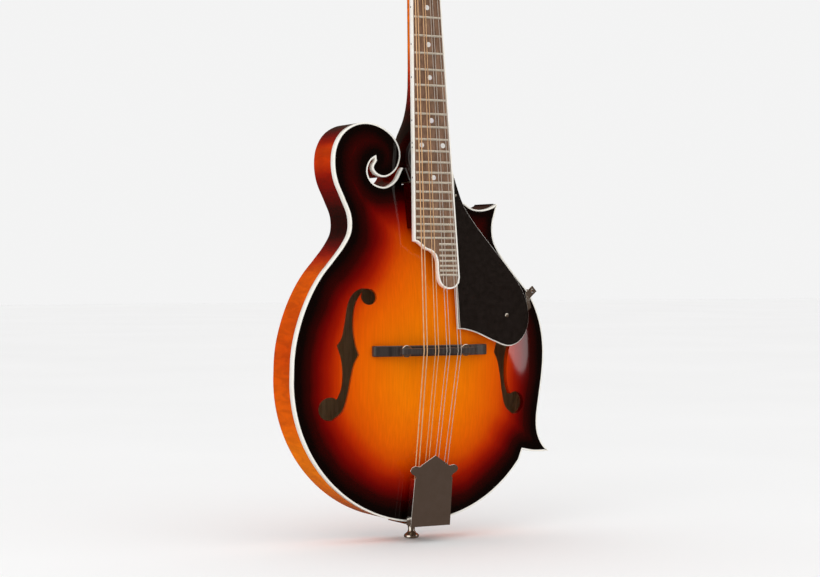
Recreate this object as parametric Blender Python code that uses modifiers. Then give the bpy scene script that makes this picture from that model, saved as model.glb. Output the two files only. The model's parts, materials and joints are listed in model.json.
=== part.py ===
"""A carved F-style mandolin, modelled as the separate pieces it is built from.

Frame: +Z runs up the neck, the face looks along -Y and +X is the treble side. The origin is the
middle of the strap button's flat outer end. Positions on the body are given as x, z and h, where
h is the height in front of the plane that holds the edge of the top.
"""

import math

import bmesh
import bpy
from mathutils import Matrix, Vector
from mathutils.geometry import delaunay_2d_cdt

MM = 0.001
GAP = 0.3 * MM

# Body box
RIM_DEPTH = 40.0 * MM
FACE_Y = -RIM_DEPTH / 2
BOUT_CENTRE_Z = 145.0 * MM
BOUT_RADIUS = 128.5 * MM
WAIST_HALF_WIDTH = 72.0 * MM
WAIST_Z = 285.0 * MM
PLATE_THICKNESS = 4.2 * MM
TOP_ARCH = 17.0 * MM
BACK_ARCH = 13.0 * MM
ARCH_MIDDLE_Z = 175.0 * MM
ARCH_TAIL_Z = 17.0 * MM
ARCH_NECK_Z = 320.0 * MM
BINDING_WIDTH = 1.6 * MM
BINDING_DEPTH = 6.5 * MM
RIB_THICKNESS = 2.0 * MM
LINING_WIDTH = 4.5 * MM
LINING_DEPTH = 7.0 * MM
LATTICE = 19.0 * MM
MITRE_LIMIT = 4.5

# Neck and fingerboard
SCALE_LENGTH = 352.4 * MM
NUT_Z = 523.5 * MM
NUT_H = 5.1 * MM
NECK_ANGLE = math.radians(4.57)
BOARD_THICKNESS = 5.0 * MM
BOARD_NUT_HALF_WIDTH = 13.7 * MM
BOARD_END_HALF_WIDTH = 22.8 * MM
LAST_FRET = 29
BOARD_BINDING_WIDTH = 1.5 * MM
FRET_HEIGHT = 1.0 * MM
FRET_WIDTH = 2.0 * MM
BODY_JOINT_Z = 320.5 * MM
NUT_LENGTH = 5.0 * MM
NUT_RISE = 0.9 * MM
EXTENSION_FRET_START = 2.8 * MM
RISER_END_Z = 279.2 * MM
RISER_HALF_WIDTH = 19.6 * MM
TRUSS_AXIS = -10.4 * MM
TRUSS_RADIUS = 1.9 * MM
TRUSS_NUT_RADIUS = 3.0 * MM
TRUSS_NUT_LENGTH = 8.0 * MM
TRUSS_BODY_END = -190.0 * MM
TRUSS_HEAD_END = 14.0 * MM
POCKET_START = 13.0 * MM
POCKET_END = 30.0 * MM
POCKET_WIDTH = 7.6 * MM

# Headstock
HEAD_ANGLE = math.radians(14.0)
HEAD_THICKNESS = 14.0 * MM
VENEER_THICKNESS = 1.6 * MM
POST_SPACING = 23.0 * MM
FIRST_POST = 38.0 * MM
POST_X = 17.0 * MM
POST_RADIUS = 3.0 * MM
POST_RISE = 13.0 * MM
GEAR_RADIUS = 6.2 * MM
WORM_RADIUS = 2.4 * MM
POST_BORE = 3.5 * MM
STRING_POST_OUT = 7.4 * MM
TUNER_PLATE_THICKNESS = 1.0 * MM
GEAR_THICKNESS = 3.4 * MM
SHAFT_RADIUS = 1.5 * MM
EAR_OFFSET = 5.6 * MM
EAR_THICKNESS = 1.4 * MM
KNOB_START = 24.0 * MM
KNOB_SIZE = (6.4 * MM, 13.5 * MM, 10.5 * MM)
KNOB_BEVEL = 2.4 * MM
POST_WAIST = 2.1 * MM
EAR_HALF_WIDTH = 3.2 * MM

# Bridge and strings
BRIDGE_Z = 171.0 * MM
SADDLE_TOP_H = 38.0 * MM
SADDLE_BOTTOM_H = 27.3 * MM
BASE_HALF_LENGTH = 57.5 * MM
BASE_WIDTH = 9.4 * MM
BRIDGE_POST_X = 30.0 * MM
WHEEL_RADIUS = 5.4 * MM
WHEEL_THICKNESS = 2.2 * MM
STUD_RADIUS = 1.7 * MM
STUD_TOP_H = 32.0 * MM
STUD_FOOT_H = 20.0 * MM
BASE_TOP_H = 23.2 * MM
SADDLE_WIDTH = 5.2 * MM
COURSES_AT_NUT = 7.0 * MM
COURSES_AT_SADDLE = 11.5 * MM
COURSES_AT_TAIL = 9.2 * MM
PAIR_AT_NUT = 1.15 * MM
PAIR_AT_SADDLE = 1.6 * MM
PAIR_AT_TAIL = 1.7 * MM
HOOK_Z = 45.0 * MM
HOOK_H = 12.6 * MM
STRING_RADII = (0.5 * MM, 0.33 * MM, 0.25 * MM, 0.25 * MM)
# The saddle seen from the neck, in millimetres: across, height above the edge of the top.
SADDLE_OUTLINE = [
    (-37.5, 27.3), (-21.0, 27.3), (-16.0, 29.4), (0.0, 30.2), (16.0, 29.4), (21.0, 27.3), (37.5, 27.3),
    (37.8, 31.0), (35.0, 34.0), (29.0, 35.0), (25.0, 36.3), (20.5, 36.7), (0.0, 36.8), (-20.5, 36.7),
    (-25.0, 36.3), (-29.0, 35.0), (-35.0, 34.0), (-37.8, 31.0),
]

# Tailpiece
COVER_SLOPE = math.radians(8.2)
COVER_Z = 14.2 * MM
COVER_H = 15.4 * MM
SHEET = 0.8 * MM
BASE_PLATE_HALF_WIDTH = 17.0 * MM
# Half of the cover's outline, in millimetres, from a corner of its lip to its point.
COVER_OUTLINE = [
    (20.1, 0.0), (19.2, 43.5), (18.2, 44.5), (19.6, 47.0), (22.4, 48.6), (24.2, 51.5), (22.6, 54.3),
    (20.0, 55.6), (14.5, 55.0), (13.2, 56.2), (0.0, 64.6),
]

# Frames: each maps (across, along, out) to the world.
FACE = Matrix.Translation((0, FACE_Y, 0)) @ Matrix.Rotation(math.radians(90), 4, "X")
BOARD = (
    Matrix.Translation((0, FACE_Y - NUT_H, NUT_Z))
    @ Matrix.Rotation(math.radians(90) - NECK_ANGLE, 4, "X")
)
COVER = (
    Matrix.Translation((0, FACE_Y - COVER_H, COVER_Z))
    @ Matrix.Rotation(math.radians(90) + COVER_SLOPE, 4, "X")
)
# SIDE takes (z, h, x), for outlines seen from the treble side. PLAN takes (x, h, -z), seen from above.
SIDE = Matrix(((0, 0, 1, 0), (0, -1, 0, FACE_Y), (1, 0, 0, 0), (0, 0, 0, 1)))
PLAN = Matrix(((1, 0, 0, 0), (0, -1, 0, FACE_Y), (0, 0, -1, 0), (0, 0, 0, 1)))
HEAD_FACE_DROP = BOARD_THICKNESS - VENEER_THICKNESS
HEAD = (
    BOARD
    @ Matrix.Translation((0, NUT_LENGTH, -HEAD_FACE_DROP))
    @ Matrix.Rotation(NECK_ANGLE - HEAD_ANGLE, 4, "X")
)

# Body outline, in millimetres. Each run is smooth and starts where the last one ended.
SLOT_RUN = [
    (-19.3, 336.2), (-22.5, 330.3), (-26.4, 323.1), (-31.3, 318.8), (-36.9, 316.3), (-42.7, 316.5),
    (-49.3, 319.3), (-53.4, 324.2), (-55.0, 330.0), (-53.6, 336.0), (-50.8, 340.0), (-47.6, 342.0),
]
SCROLL_RUN = [
    (-47.6, 342.0), (-47.2, 339.6), (-49.4, 336.4), (-50.3, 332.6), (-47.5, 328.0), (-42.0, 325.2),
    (-36.8, 325.0), (-30.3, 328.0), (-25.4, 333.2), (-22.6, 340.0), (-22.0, 346.0), (-23.5, 352.5),
    (-27.5, 359.3), (-33.8, 365.3), (-43.0, 370.2), (-55.0, 372.8), (-68.0, 370.6), (-79.5, 363.0),
    (-86.6, 350.5), (-88.4, 336.0), (-86.0, 321.0), (-78.6, 304.5), (-72.6, 290.0), (-72.6, 276.0),
    (-79.0, 264.0), (-89.5, 251.0), (-100.5, 238.0), (-110.5, 222.0), (-119.5, 201.5), (-125.6, 180.0),
    (-127.8, 164.5), (-128.4, 149.5),
]
BASS_BOUT_DEGREES = (178.0, 270.0)
TREBLE_BOUT_DEGREES = (270.0, 323.0)
POINT_UNDERSIDE_RUN = [(106.0, 76.8), (118.0, 74.6), (134.5, 74.4)]
WAIST_RUN = [
    (134.5, 74.4), (127.6, 82.0), (123.2, 91.5), (121.9, 103.5), (124.3, 123.0), (127.4, 143.0),
    (129.1, 163.0), (128.0, 182.0), (122.5, 203.0), (113.0, 221.0), (97.5, 238.5), (82.0, 257.0),
    (75.2, 269.5), (73.9, 283.0), (79.0, 303.0),
]
SHOULDER_RUN = [
    (79.0, 303.0), (70.5, 299.0), (60.2, 297.2), (51.0, 298.6), (42.0, 304.0), (30.0, 313.0), (21.0, 320.5),
]
NECK_POCKET = [(21.0, 320.5), (-19.3, 320.5)]
BINDING_NECK_GAP = 2.6 * MM

# One f-hole, on the treble side, in millimetres.
UPPER_EYE = (58.8, 218.9, 7.1)
LOWER_EYE = (94.6, 120.8, 10.3)
F_OUTER_TOP_RUN = [
    (58.8, 226.0), (65.5, 226.2), (73.0, 221.6), (78.0, 213.0), (81.6, 196.0), (85.0, 182.0), (88.8, 176.3),
]
F_OUTER_LOW_RUN = [(88.8, 176.3), (85.2, 164.5), (84.0, 151.0), (85.2, 138.0), (88.8, 129.3)]
F_INNER_LOW_RUN = [(91.5, 111.0), (83.4, 117.5), (78.6, 132.0), (76.0, 146.5), (72.8, 160.0), (68.7, 168.0)]
F_INNER_TOP_RUN = [(68.7, 168.0), (71.6, 177.0), (73.6, 190.0), (73.0, 203.0), (70.4, 214.0), (64.8, 223.0)]

# End of the fingerboard, from the bass corner to the treble edge: across, distance from the nut.
BOARD_END_RUN = [
    (-18.2, -257.3), (-14.0, -260.5), (-10.0, -263.6), (-5.5, -265.0), (-1.5, -268.2), (0.5, -274.0),
    (0.6, -284.0), (2.0, -291.7), (5.2, -296.4), (10.8, -298.8), (17.6, -297.6), (21.8, -293.6),
]
BOARD_BASS_CORNER = -256.2
BOARD_TREBLE_CORNER = -288.6

# Back of the neck: height z and depth behind the fingerboard.
NECK_STATIONS = [
    (534.0, 14.0), (528.4, 14.5), (523.5, 14.6), (485.0, 15.4), (440.0, 16.4), (417.0, 17.2),
    (404.0, 19.0), (395.0, 21.3), (386.0, 25.6), (377.0, 31.5), (369.0, 40.0), (362.0, 48.0),
    (355.0, 51.8), (343.0, 53.0), (320.8, 54.0),
]

HEAD_OUTLINE = [
    (12.8, 2.0), (14.6, 12.0), (21.0, 21.0), (26.0, 30.0), (27.0, 45.0), (26.2, 70.0), (27.4, 95.0),
    (31.5, 116.0), (34.0, 132.0), (31.0, 143.0), (22.0, 147.5), (11.0, 147.0), (0.0, 151.0),
]

# Outer edge of the pickguard, from its lower corner by the strings to its upper end by the neck.
PICKGUARD_RUN = [
    (25.0, 189.6), (31.5, 189.3), (44.0, 186.0), (62.0, 178.4), (77.0, 173.6), (88.0, 176.6), (96.4, 186.0),
    (99.6, 199.0), (97.6, 214.5), (90.0, 230.0), (75.2, 248.9), (59.8, 266.4), (45.2, 283.5), (34.2, 298.9),
    (28.2, 313.5), (22.6, 331.0),
]
PICKGUARD_NECK_EDGE = (23.6, 235.0)
PICKGUARD_Z = 331.0 * MM
PICKGUARD_H = 16.5 * MM
PICKGUARD_THICKNESS = 2.0 * MM
PICKGUARD_SLOPE = math.radians(2.2)
CLAMP_Z = 221.0
CLAMP_X = 113.0
CLAMP_AXIS_DEGREES = 41.0

# Where the solid blocks take over from the bent ribs, in millimetres.
LOWER_POINT_BLOCK = ((102.6, 67.7), (123.2, 91.5))
UPPER_POINT_BLOCK = ((76.0, 292.0), (66.0, 298.0))
LINING_ENDS = ((-75.5, 297.0), (73.9, 283.0))
LINING_BYPASS = ((105.6, 78.0), (113.0, 92.0))
TAIL_POINT = (0.0, 16.5)
TAIL_BLOCK_DEGREES = (258.0, 282.0)
TAIL_BLOCK_FRONT = ((26.0, 36.0), (-26.0, 36.0))
LOWER_POINT_BACK = ((120.7, 90.7), (117.5, 93.0), (111.8, 89.0), (104.3, 78.2), (101.2, 69.4))
UPPER_POINT_BACK = ((70.9, 296.6), (70.9, 291.5), (72.2, 290.4))
NECK_BLOCK_BACK = ((-62.0, 300.0), (-36.0, 285.0), (36.0, 285.0))
TENON_MOUTH = 8.5 * MM
TENON_ROOT = 11.5 * MM
TENON_DEPTH = 14.0 * MM
STRAP_PIN_HOLE = 2.7 * MM
CLAMP_BOLT_RADIUS = 1.2 * MM
CLAMP_BOLT_OUT = 3.6 * MM


# ---------------------------------------------------------------------------
# Scene, materials and helpers
# ---------------------------------------------------------------------------

def clear_scene():
    for existing in list(bpy.data.objects):
        bpy.data.objects.remove(existing, do_unlink=True)


def new_collection(name):
    collection = bpy.data.collections.new(name)
    bpy.context.scene.collection.children.link(collection)
    return collection


def material(name, colour, roughness, metallic=0.0):
    made = bpy.data.materials.new(name)
    made.use_nodes = True
    shader = made.node_tree.nodes["Principled BSDF"]
    shader.inputs["Base Color"].default_value = (*colour, 1.0)
    shader.inputs["Roughness"].default_value = roughness
    shader.inputs["Metallic"].default_value = metallic
    made.diffuse_color = (*colour, 1.0)
    return made


clear_scene()
PARTS = new_collection("mandolin")
CUTTERS = new_collection("cutters")

SUNBURST_TOP = material("sunburst_spruce", (0.55, 0.16, 0.01), 0.15)
SUNBURST_MAPLE = material("sunburst_maple", (0.35, 0.09, 0.01), 0.15)
BARE_WOOD = material("bare_wood", (0.55, 0.36, 0.18), 0.6)
ROSEWOOD = material("rosewood", (0.12, 0.06, 0.035), 0.5)
EBONY = material("ebony", (0.02, 0.016, 0.014), 0.4)
IVOROID = material("ivoroid", (0.85, 0.80, 0.68), 0.3)
BONE = material("bone", (0.86, 0.82, 0.70), 0.35)
NICKEL = material("nickel", (0.60, 0.57, 0.53), 0.2, 1.0)
STEEL = material("string_steel", (0.62, 0.60, 0.57), 0.25, 1.0)
BRONZE = material("string_bronze", (0.72, 0.42, 0.20), 0.3, 1.0)
BLACK_PLASTIC = material("black_plastic", (0.012, 0.011, 0.011), 0.2)
PEARL = material("pearl_plastic", (0.82, 0.80, 0.76), 0.25)
BRASS = material("gear_brass", (0.65, 0.47, 0.20), 0.3, 1.0)


def add(name, mesh, surface, frame=None, smooth=True):
    mesh.name = name
    made = bpy.data.objects.new(name, mesh)
    PARTS.objects.link(made)
    mesh.materials.append(surface)
    if frame is not None:
        made.matrix_world = frame
    if smooth:
        mesh.shade_smooth()
        mesh.set_sharp_from_angle(angle=math.radians(35))
    return made


def as_cutter(made):
    for collection in list(made.users_collection):
        collection.objects.unlink(made)
    CUTTERS.objects.link(made)
    made.hide_render = True
    made.display_type = "WIRE"
    return made


def boolean(target, other, operation):
    step = target.modifiers.new(operation.lower(), "BOOLEAN")
    step.operation = operation
    step.object = other
    step.solver = "EXACT"


def cut(target, *cutters):
    for cutter in cutters:
        boolean(target, as_cutter(cutter), "DIFFERENCE")


def join(target, *others):
    for other in others:
        boolean(target, as_cutter(other), "UNION")


def place(frame, across, along, out):
    return frame @ Matrix.Translation((across, along, out))


def flat(name, outline, low, high, surface, frame=FACE, holes=()):
    """A flat piece: a filled outline between two heights of its frame."""
    curve = bpy.data.curves.new(name, "CURVE")
    curve.dimensions = "2D"
    curve.fill_mode = "BOTH"
    curve.extrude = (high - low) / 2
    for loop in (outline, *holes):
        spline = curve.splines.new("POLY")
        spline.points.add(len(loop) - 1)
        spline.use_cyclic_u = True
        for point, (across, along) in zip(spline.points, loop):
            point.co = (across, along, 0.0, 1.0)
    drawn = bpy.data.objects.new(name, curve)
    CUTTERS.objects.link(drawn)
    bpy.context.view_layer.update()
    mesh = bpy.data.meshes.new_from_object(drawn.evaluated_get(bpy.context.evaluated_depsgraph_get()))
    bpy.data.objects.remove(drawn)
    work = bmesh.new()
    work.from_mesh(mesh)
    bmesh.ops.remove_doubles(work, verts=work.verts, dist=1e-6)
    bmesh.ops.recalc_face_normals(work, faces=work.faces)
    work.to_mesh(mesh)
    work.free()
    return add(name, mesh, surface, place(frame, 0, 0, (low + high) / 2), smooth=False)


def strip(name, path, low, high, thickness, surface, frame=FACE):
    """A bent strip: a wall standing on a path, thickened to the left of the path."""
    mesh = bpy.data.meshes.new(name)
    work = bmesh.new()
    feet = [work.verts.new((across, along, low)) for across, along in path]
    edges = [work.edges.new(pair) for pair in zip(feet, feet[1:])]
    grown = bmesh.ops.extrude_edge_only(work, edges=edges)["geom"]
    top = [item for item in grown if isinstance(item, bmesh.types.BMVert)]
    bmesh.ops.translate(work, verts=top, vec=(0, 0, high - low))
    work.to_mesh(mesh)
    work.free()
    made = add(name, mesh, surface, frame)
    wall = made.modifiers.new("thickness", "SOLIDIFY")
    wall.thickness = thickness
    wall.offset = 1.0
    wall.use_even_offset = True
    return made


def block(name, size, centre, surface, frame=FACE, bevel=0.0):
    """A box, sized across, along and out in its frame."""
    mesh = bpy.data.meshes.new(name)
    work = bmesh.new()
    bmesh.ops.create_cube(work, size=1.0)
    bmesh.ops.scale(work, verts=work.verts, vec=size)
    work.to_mesh(mesh)
    work.free()
    made = add(name, mesh, surface, place(frame, *centre))
    if bevel:
        edge = made.modifiers.new("rounding", "BEVEL")
        edge.width = bevel
        edge.segments = 2
    return made


def rod(name, radius, low, high, centre, surface, frame=FACE, sides=16, turn=None):
    """A cylinder along its frame's out direction, or turned from it."""
    mesh = bpy.data.meshes.new(name)
    work = bmesh.new()
    bmesh.ops.create_cone(
        work, cap_ends=True, segments=sides, radius1=radius, radius2=radius, depth=high - low,
        matrix=Matrix.Translation((0, 0, (low + high) / 2)),
    )
    work.to_mesh(mesh)
    work.free()
    turn = turn or Matrix.Identity(4)
    return add(name, mesh, surface, place(frame, *centre) @ turn)


def turned(name, profile, surface, frame, steps=12, ring=False):
    """A turned piece: (radius, height) pairs from the top down, spun about the frame's out direction."""
    mesh = bpy.data.meshes.new(name)
    work = bmesh.new()
    verts = [work.verts.new((radius, 0.0, height)) for radius, height in profile]
    for upper, lower in zip(verts, verts[1:]):
        work.edges.new((upper, lower))
    if ring:
        work.edges.new((verts[-1], verts[0]))
    work.to_mesh(mesh)
    work.free()
    made = add(name, mesh, surface, frame)
    spin = made.modifiers.new("turning", "SCREW")
    spin.steps = steps
    spin.render_steps = steps
    spin.use_merge_vertices = True
    spin.merge_threshold = 0.00001
    return made


def wire(name, points, radius, surface):
    """A round wire through world points."""
    curve = bpy.data.curves.new(name, "CURVE")
    curve.dimensions = "3D"
    curve.bevel_depth = radius
    curve.bevel_resolution = 1
    curve.use_fill_caps = True
    spline = curve.splines.new("POLY")
    spline.points.add(len(points) - 1)
    for point, place_ in zip(spline.points, points):
        point.co = (*place_, 1.0)
    made = bpy.data.objects.new(name, curve)
    PARTS.objects.link(made)
    curve.materials.append(surface)
    return made


# ---------------------------------------------------------------------------
# Curves and surfaces
# ---------------------------------------------------------------------------

def smooth_run(points, spacing):
    """A curve through the points, with its ends left sharp (centripetal Catmull-Rom)."""
    knots = [Vector(point) * MM for point in points]
    knots = [2 * knots[0] - knots[1], *knots, 2 * knots[-1] - knots[-2]]
    run = []
    for a, b, c, d in zip(knots, knots[1:], knots[2:], knots[3:]):
        steps = max(1, round((c - b).length / spacing))
        t1 = (b - a).length ** 0.5
        t2 = t1 + (c - b).length ** 0.5
        t3 = t2 + (d - c).length ** 0.5
        for step in range(steps):
            t = t1 + (t2 - t1) * step / steps
            ab = a.lerp(b, t / t1)
            bc = b.lerp(c, (t - t1) / (t2 - t1))
            cd = c.lerp(d, (t - t2) / (t3 - t2))
            abc = ab.lerp(bc, t / t2)
            bcd = bc.lerp(cd, (t - t1) / (t3 - t1))
            run.append(abc.lerp(bcd, (t - t1) / (t2 - t1)))
    run.append(knots[-2])
    return run


def arc(centre, radius, start, end, spacing):
    """Points along an arc, in degrees from +across."""
    length = abs(math.radians(end - start)) * radius
    steps = max(2, round(length / spacing))
    run = []
    for step in range(steps + 1):
        angle = math.radians(start + (end - start) * step / steps)
        run.append(Vector((centre[0] + radius * math.cos(angle), centre[1] + radius * math.sin(angle))))
    return run


def chain(*runs):
    """Runs laid end to end, each shared point kept once."""
    path = []
    for run in runs:
        for point in run:
            if not path or (point - path[-1]).length > 0.05 * MM:
                path.append(point)
    return path


def normals(path, closed):
    """Unit vectors to the left of the path and the mitre length at each point."""
    found = []
    count = len(path)
    for index, point in enumerate(path):
        before = path[index - 1] if (closed or index) else None
        after = path[(index + 1) % count] if (closed or index < count - 1) else None
        sides = []
        if before is not None:
            sides.append((point - before).normalized())
        if after is not None:
            sides.append((after - point).normalized())
        left = [Vector((-side.y, side.x)) for side in sides]
        middle = sum(left, Vector((0.0, 0.0))).normalized()
        found.append((middle, min(MITRE_LIMIT, 1.0 / max(0.01, middle.dot(left[0])))))
    return found


def inset(path, distance, closed=True):
    """The path moved to its left, with the points that would cross over left out."""
    moved = [point + side * (distance * mitre) for point, (side, mitre) in zip(path, normals(path, closed))]
    kept = []
    for point in moved:
        if nearest(path, point, closed) > abs(distance) * 0.97:
            kept.append(point)
    return kept


def nearest(path, point, closed=True):
    """Distance from a point to a path."""
    ends = path[1:] + ([path[0]] if closed else [])
    best = 1.0
    for start, end in zip(path, ends):
        along = end - start
        share = max(0.0, min(1.0, (point - start).dot(along) / along.length_squared))
        best = min(best, (start + along * share - point).length)
    return best


def inside(loop, point):
    """Whether a point lies in a closed loop."""
    crossings = 0
    for start, end in zip(loop, loop[1:] + loop[:1]):
        if (start.y > point.y) != (end.y > point.y):
            if point.x < start.x + (end.x - start.x) * (point.y - start.y) / (end.y - start.y):
                crossings += 1
    return crossings % 2 == 1


def half_width(z):
    """Half the body's width at a height, taken as the same on both sides."""
    above = z - BOUT_CENTRE_Z
    if above <= 30 * MM:
        return math.sqrt(max(1e-9, BOUT_RADIUS**2 - above**2))
    start_z = BOUT_CENTRE_Z + 30 * MM
    start_width = math.sqrt(BOUT_RADIUS**2 - (30 * MM) ** 2)
    share = min(1.0, (z - start_z) / (WAIST_Z - start_z))
    return WAIST_HALF_WIDTH + (start_width - WAIST_HALF_WIDTH) * (1 + math.cos(math.pi * share**1.1)) / 2


def arch(x, z):
    """Share of the full arch at a place on a plate: one in the middle, nothing at the edge."""
    end = ARCH_NECK_Z if z > ARCH_MIDDLE_Z else ARCH_TAIL_Z
    along = min(1.0, abs((z - ARCH_MIDDLE_Z) / (end - ARCH_MIDDLE_Z)))
    across = min(1.0, abs(x) / half_width(z))
    return (1 - along**2) ** 1.2 * (1 - across**2) ** 1.35


def top_h(x, z):
    return TOP_ARCH * arch(x, z)


def board_h(z):
    """Height of the fingerboard's playing face above the top's edge plane."""
    return NUT_H + (NUT_Z - z) * math.tan(NECK_ANGLE)


def board_half_width(along):
    """Half the fingerboard's width at a distance from the nut, which is negative towards the body."""
    length = fret_distance(LAST_FRET)
    return BOARD_NUT_HALF_WIDTH + (BOARD_END_HALF_WIDTH - BOARD_NUT_HALF_WIDTH) * (-along) / length


def fret_distance(number):
    return SCALE_LENGTH * (1 - 2 ** (-number / 12))


BODY_SPACING = 7.5 * MM
BOUT_SPACING = 11.0 * MM
RIB_LOW = -RIM_DEPTH + PLATE_THICKNESS + GAP
PLATE_UNDERSIDE = -PLATE_THICKNESS - 2 * GAP
BASS_SIDE = chain(
    smooth_run(SCROLL_RUN, BODY_SPACING),
    arc((0, BOUT_CENTRE_Z), BOUT_RADIUS, *BASS_BOUT_DEGREES, BOUT_SPACING),
)
SLOT_SIDE = smooth_run(SLOT_RUN, BODY_SPACING)
LOWER_TREBLE_SIDE = chain(
    arc((0, BOUT_CENTRE_Z), BOUT_RADIUS, *TREBLE_BOUT_DEGREES, BOUT_SPACING),
    smooth_run(POINT_UNDERSIDE_RUN, 8 * MM),
)
WAIST_SIDE = smooth_run(WAIST_RUN, 8 * MM)
SHOULDER_SIDE = smooth_run(SHOULDER_RUN, 8 * MM)
RIM_PATH = chain(SLOT_SIDE, BASS_SIDE, LOWER_TREBLE_SIDE, WAIST_SIDE, SHOULDER_SIDE)
BODY_OUTLINE = chain(RIM_PATH, [Vector(point) * MM for point in NECK_POCKET])


def f_hole(side):
    """The f-hole's outline on the treble (1) or bass (-1) side."""
    x, z, radius = (value * MM for value in UPPER_EYE)
    upper = arc((x, z), radius, 36, -270, 4 * MM)
    x, z, radius = (value * MM for value in LOWER_EYE)
    lower = arc((x, z), radius, 124, -106, 5 * MM)
    loop = chain(
        upper,
        smooth_run(F_OUTER_TOP_RUN, 9 * MM),
        smooth_run(F_OUTER_LOW_RUN, 9 * MM),
        lower,
        smooth_run(F_INNER_LOW_RUN, 9 * MM),
        smooth_run(F_INNER_TOP_RUN, 9 * MM),
    )[:-1]
    return [Vector((side * point.x, point.y)) for point in loop]


# ---------------------------------------------------------------------------
# Body
# ---------------------------------------------------------------------------

def carved_plate(name, height, surface, holes, inward):
    """An arched plate: its outer surface is triangulated inside the outline, then thickened."""
    edge = inset(BODY_OUTLINE, BINDING_WIDTH + GAP)
    loops = [edge, *holes]
    points = []
    edges = []
    for loop in loops:
        first = len(points)
        points.extend(loop)
        edges.extend((first + index, first + (index + 1) % len(loop)) for index in range(len(loop)))
    columns = round(2 * BOUT_RADIUS / LATTICE) + 1
    rows = round(400 * MM / LATTICE)
    for row in range(rows):
        for column in range(columns):
            shift = 0.5 if row % 2 else 0.0
            point = Vector((-BOUT_RADIUS + (column + shift) * LATTICE, row * LATTICE * 0.87))
            if not inside(edge, point) or any(inside(hole, point) for hole in holes):
                continue
            if all(nearest(loop, point) > LATTICE * 0.42 for loop in loops):
                points.append(point)
    verts, _, faces, *_ = delaunay_2d_cdt(points, edges, [], 1, 1e-7)
    work = bmesh.new()
    corners = [work.verts.new((vert.x, vert.y, height(vert.x, vert.y))) for vert in verts]
    for face in faces:
        middle = sum((verts[index] for index in face), Vector((0.0, 0.0))) / 3
        if not any(inside(hole, middle) for hole in holes):
            work.faces.new([corners[index] for index in face])
    bmesh.ops.delete(work, geom=[vert for vert in work.verts if not vert.link_faces], context="VERTS")
    bmesh.ops.recalc_face_normals(work, faces=work.faces)
    if (sum(face.normal.z for face in work.faces) > 0) != inward:
        bmesh.ops.reverse_faces(work, faces=work.faces)
    mesh = bpy.data.meshes.new(name)
    work.to_mesh(mesh)
    work.free()
    made = add(name, mesh, surface, FACE)
    wall = made.modifiers.new("thickness", "SOLIDIFY")
    wall.thickness = PLATE_THICKNESS
    wall.offset = -1.0
    return made


def plates():
    carved_plate("top_plate", top_h, SUNBURST_TOP, [f_hole(-1), f_hole(1)], True)
    carved_plate("back_plate", lambda x, z: -RIM_DEPTH - BACK_ARCH * arch(x, z), SUNBURST_MAPLE, [], False)


def part_of(path, start, end):
    """The points of a path from the one nearest start to the one nearest end, both in millimetres."""
    marks = [Vector(start) * MM, Vector(end) * MM]
    first, last = (min(range(len(path)), key=lambda index: (path[index] - mark).length) for mark in marks)
    return path[first:last + 1]


def shorten(path, by):
    """The path with its two ends moved in."""
    start = path[0] + (path[1] - path[0]).normalized() * by
    end = path[-1] + (path[-2] - path[-1]).normalized() * by
    return [start, *path[1:-1], end]


def outline_block(name, outline, stepped=True):
    """A solid wood block between the plates; a stepped one rises to the top plate behind the binding."""
    made = flat(name, outline, RIB_LOW, -BINDING_DEPTH - GAP, BARE_WOOD)
    if stepped:
        front = inset(outline, BINDING_WIDTH + 3 * GAP)
        join(made, flat(name + "_front", front, RIB_LOW + 5 * MM, PLATE_UNDERSIDE, BARE_WOOD))
    return made


def binding_and_ribs():
    """The edge binding and the four bent ribs; returns the two ribs that meet at the tail."""
    start = RIM_PATH[0] + (RIM_PATH[1] - RIM_PATH[0]).normalized() * BINDING_NECK_GAP
    strip("body_binding", [start, *RIM_PATH[1:]], -BINDING_DEPTH, 0.0, BINDING_WIDTH, IVOROID)
    high = -BINDING_DEPTH - GAP
    waist = shorten(part_of(WAIST_SIDE, LOWER_POINT_BLOCK[1], UPPER_POINT_BLOCK[0]), GAP)
    shoulder = shorten(part_of(SHOULDER_SIDE, UPPER_POINT_BLOCK[1], NECK_POCKET[0]), GAP)
    strip("rib_treble_waist", waist, RIB_LOW, high, RIB_THICKNESS, SUNBURST_MAPLE)
    strip("rib_treble_shoulder", shoulder, RIB_LOW, high, RIB_THICKNESS, SUNBURST_MAPLE)
    bass = shorten(part_of(BASS_SIDE, SCROLL_RUN[0], TAIL_POINT), GAP)
    lower = shorten(part_of(LOWER_TREBLE_SIDE, TAIL_POINT, LOWER_POINT_BLOCK[0]), GAP)
    return [
        strip("rib_bass", bass, RIB_LOW, high, RIB_THICKNESS, SUNBURST_MAPLE),
        strip("rib_treble_lower", lower, RIB_LOW, high, RIB_THICKNESS, SUNBURST_MAPLE),
    ]


def lining_path():
    """The inside of the ribs, cutting across behind the lower point."""
    return chain(
        part_of(BASS_SIDE, LINING_ENDS[0], TAIL_POINT),
        part_of(LOWER_TREBLE_SIDE, TAIL_POINT, LOWER_POINT_BLOCK[0]),
        [Vector(point) * MM for point in LINING_BYPASS],
        part_of(WAIST_SIDE, (121.9, 103.5), LINING_ENDS[1]),
    )


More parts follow.
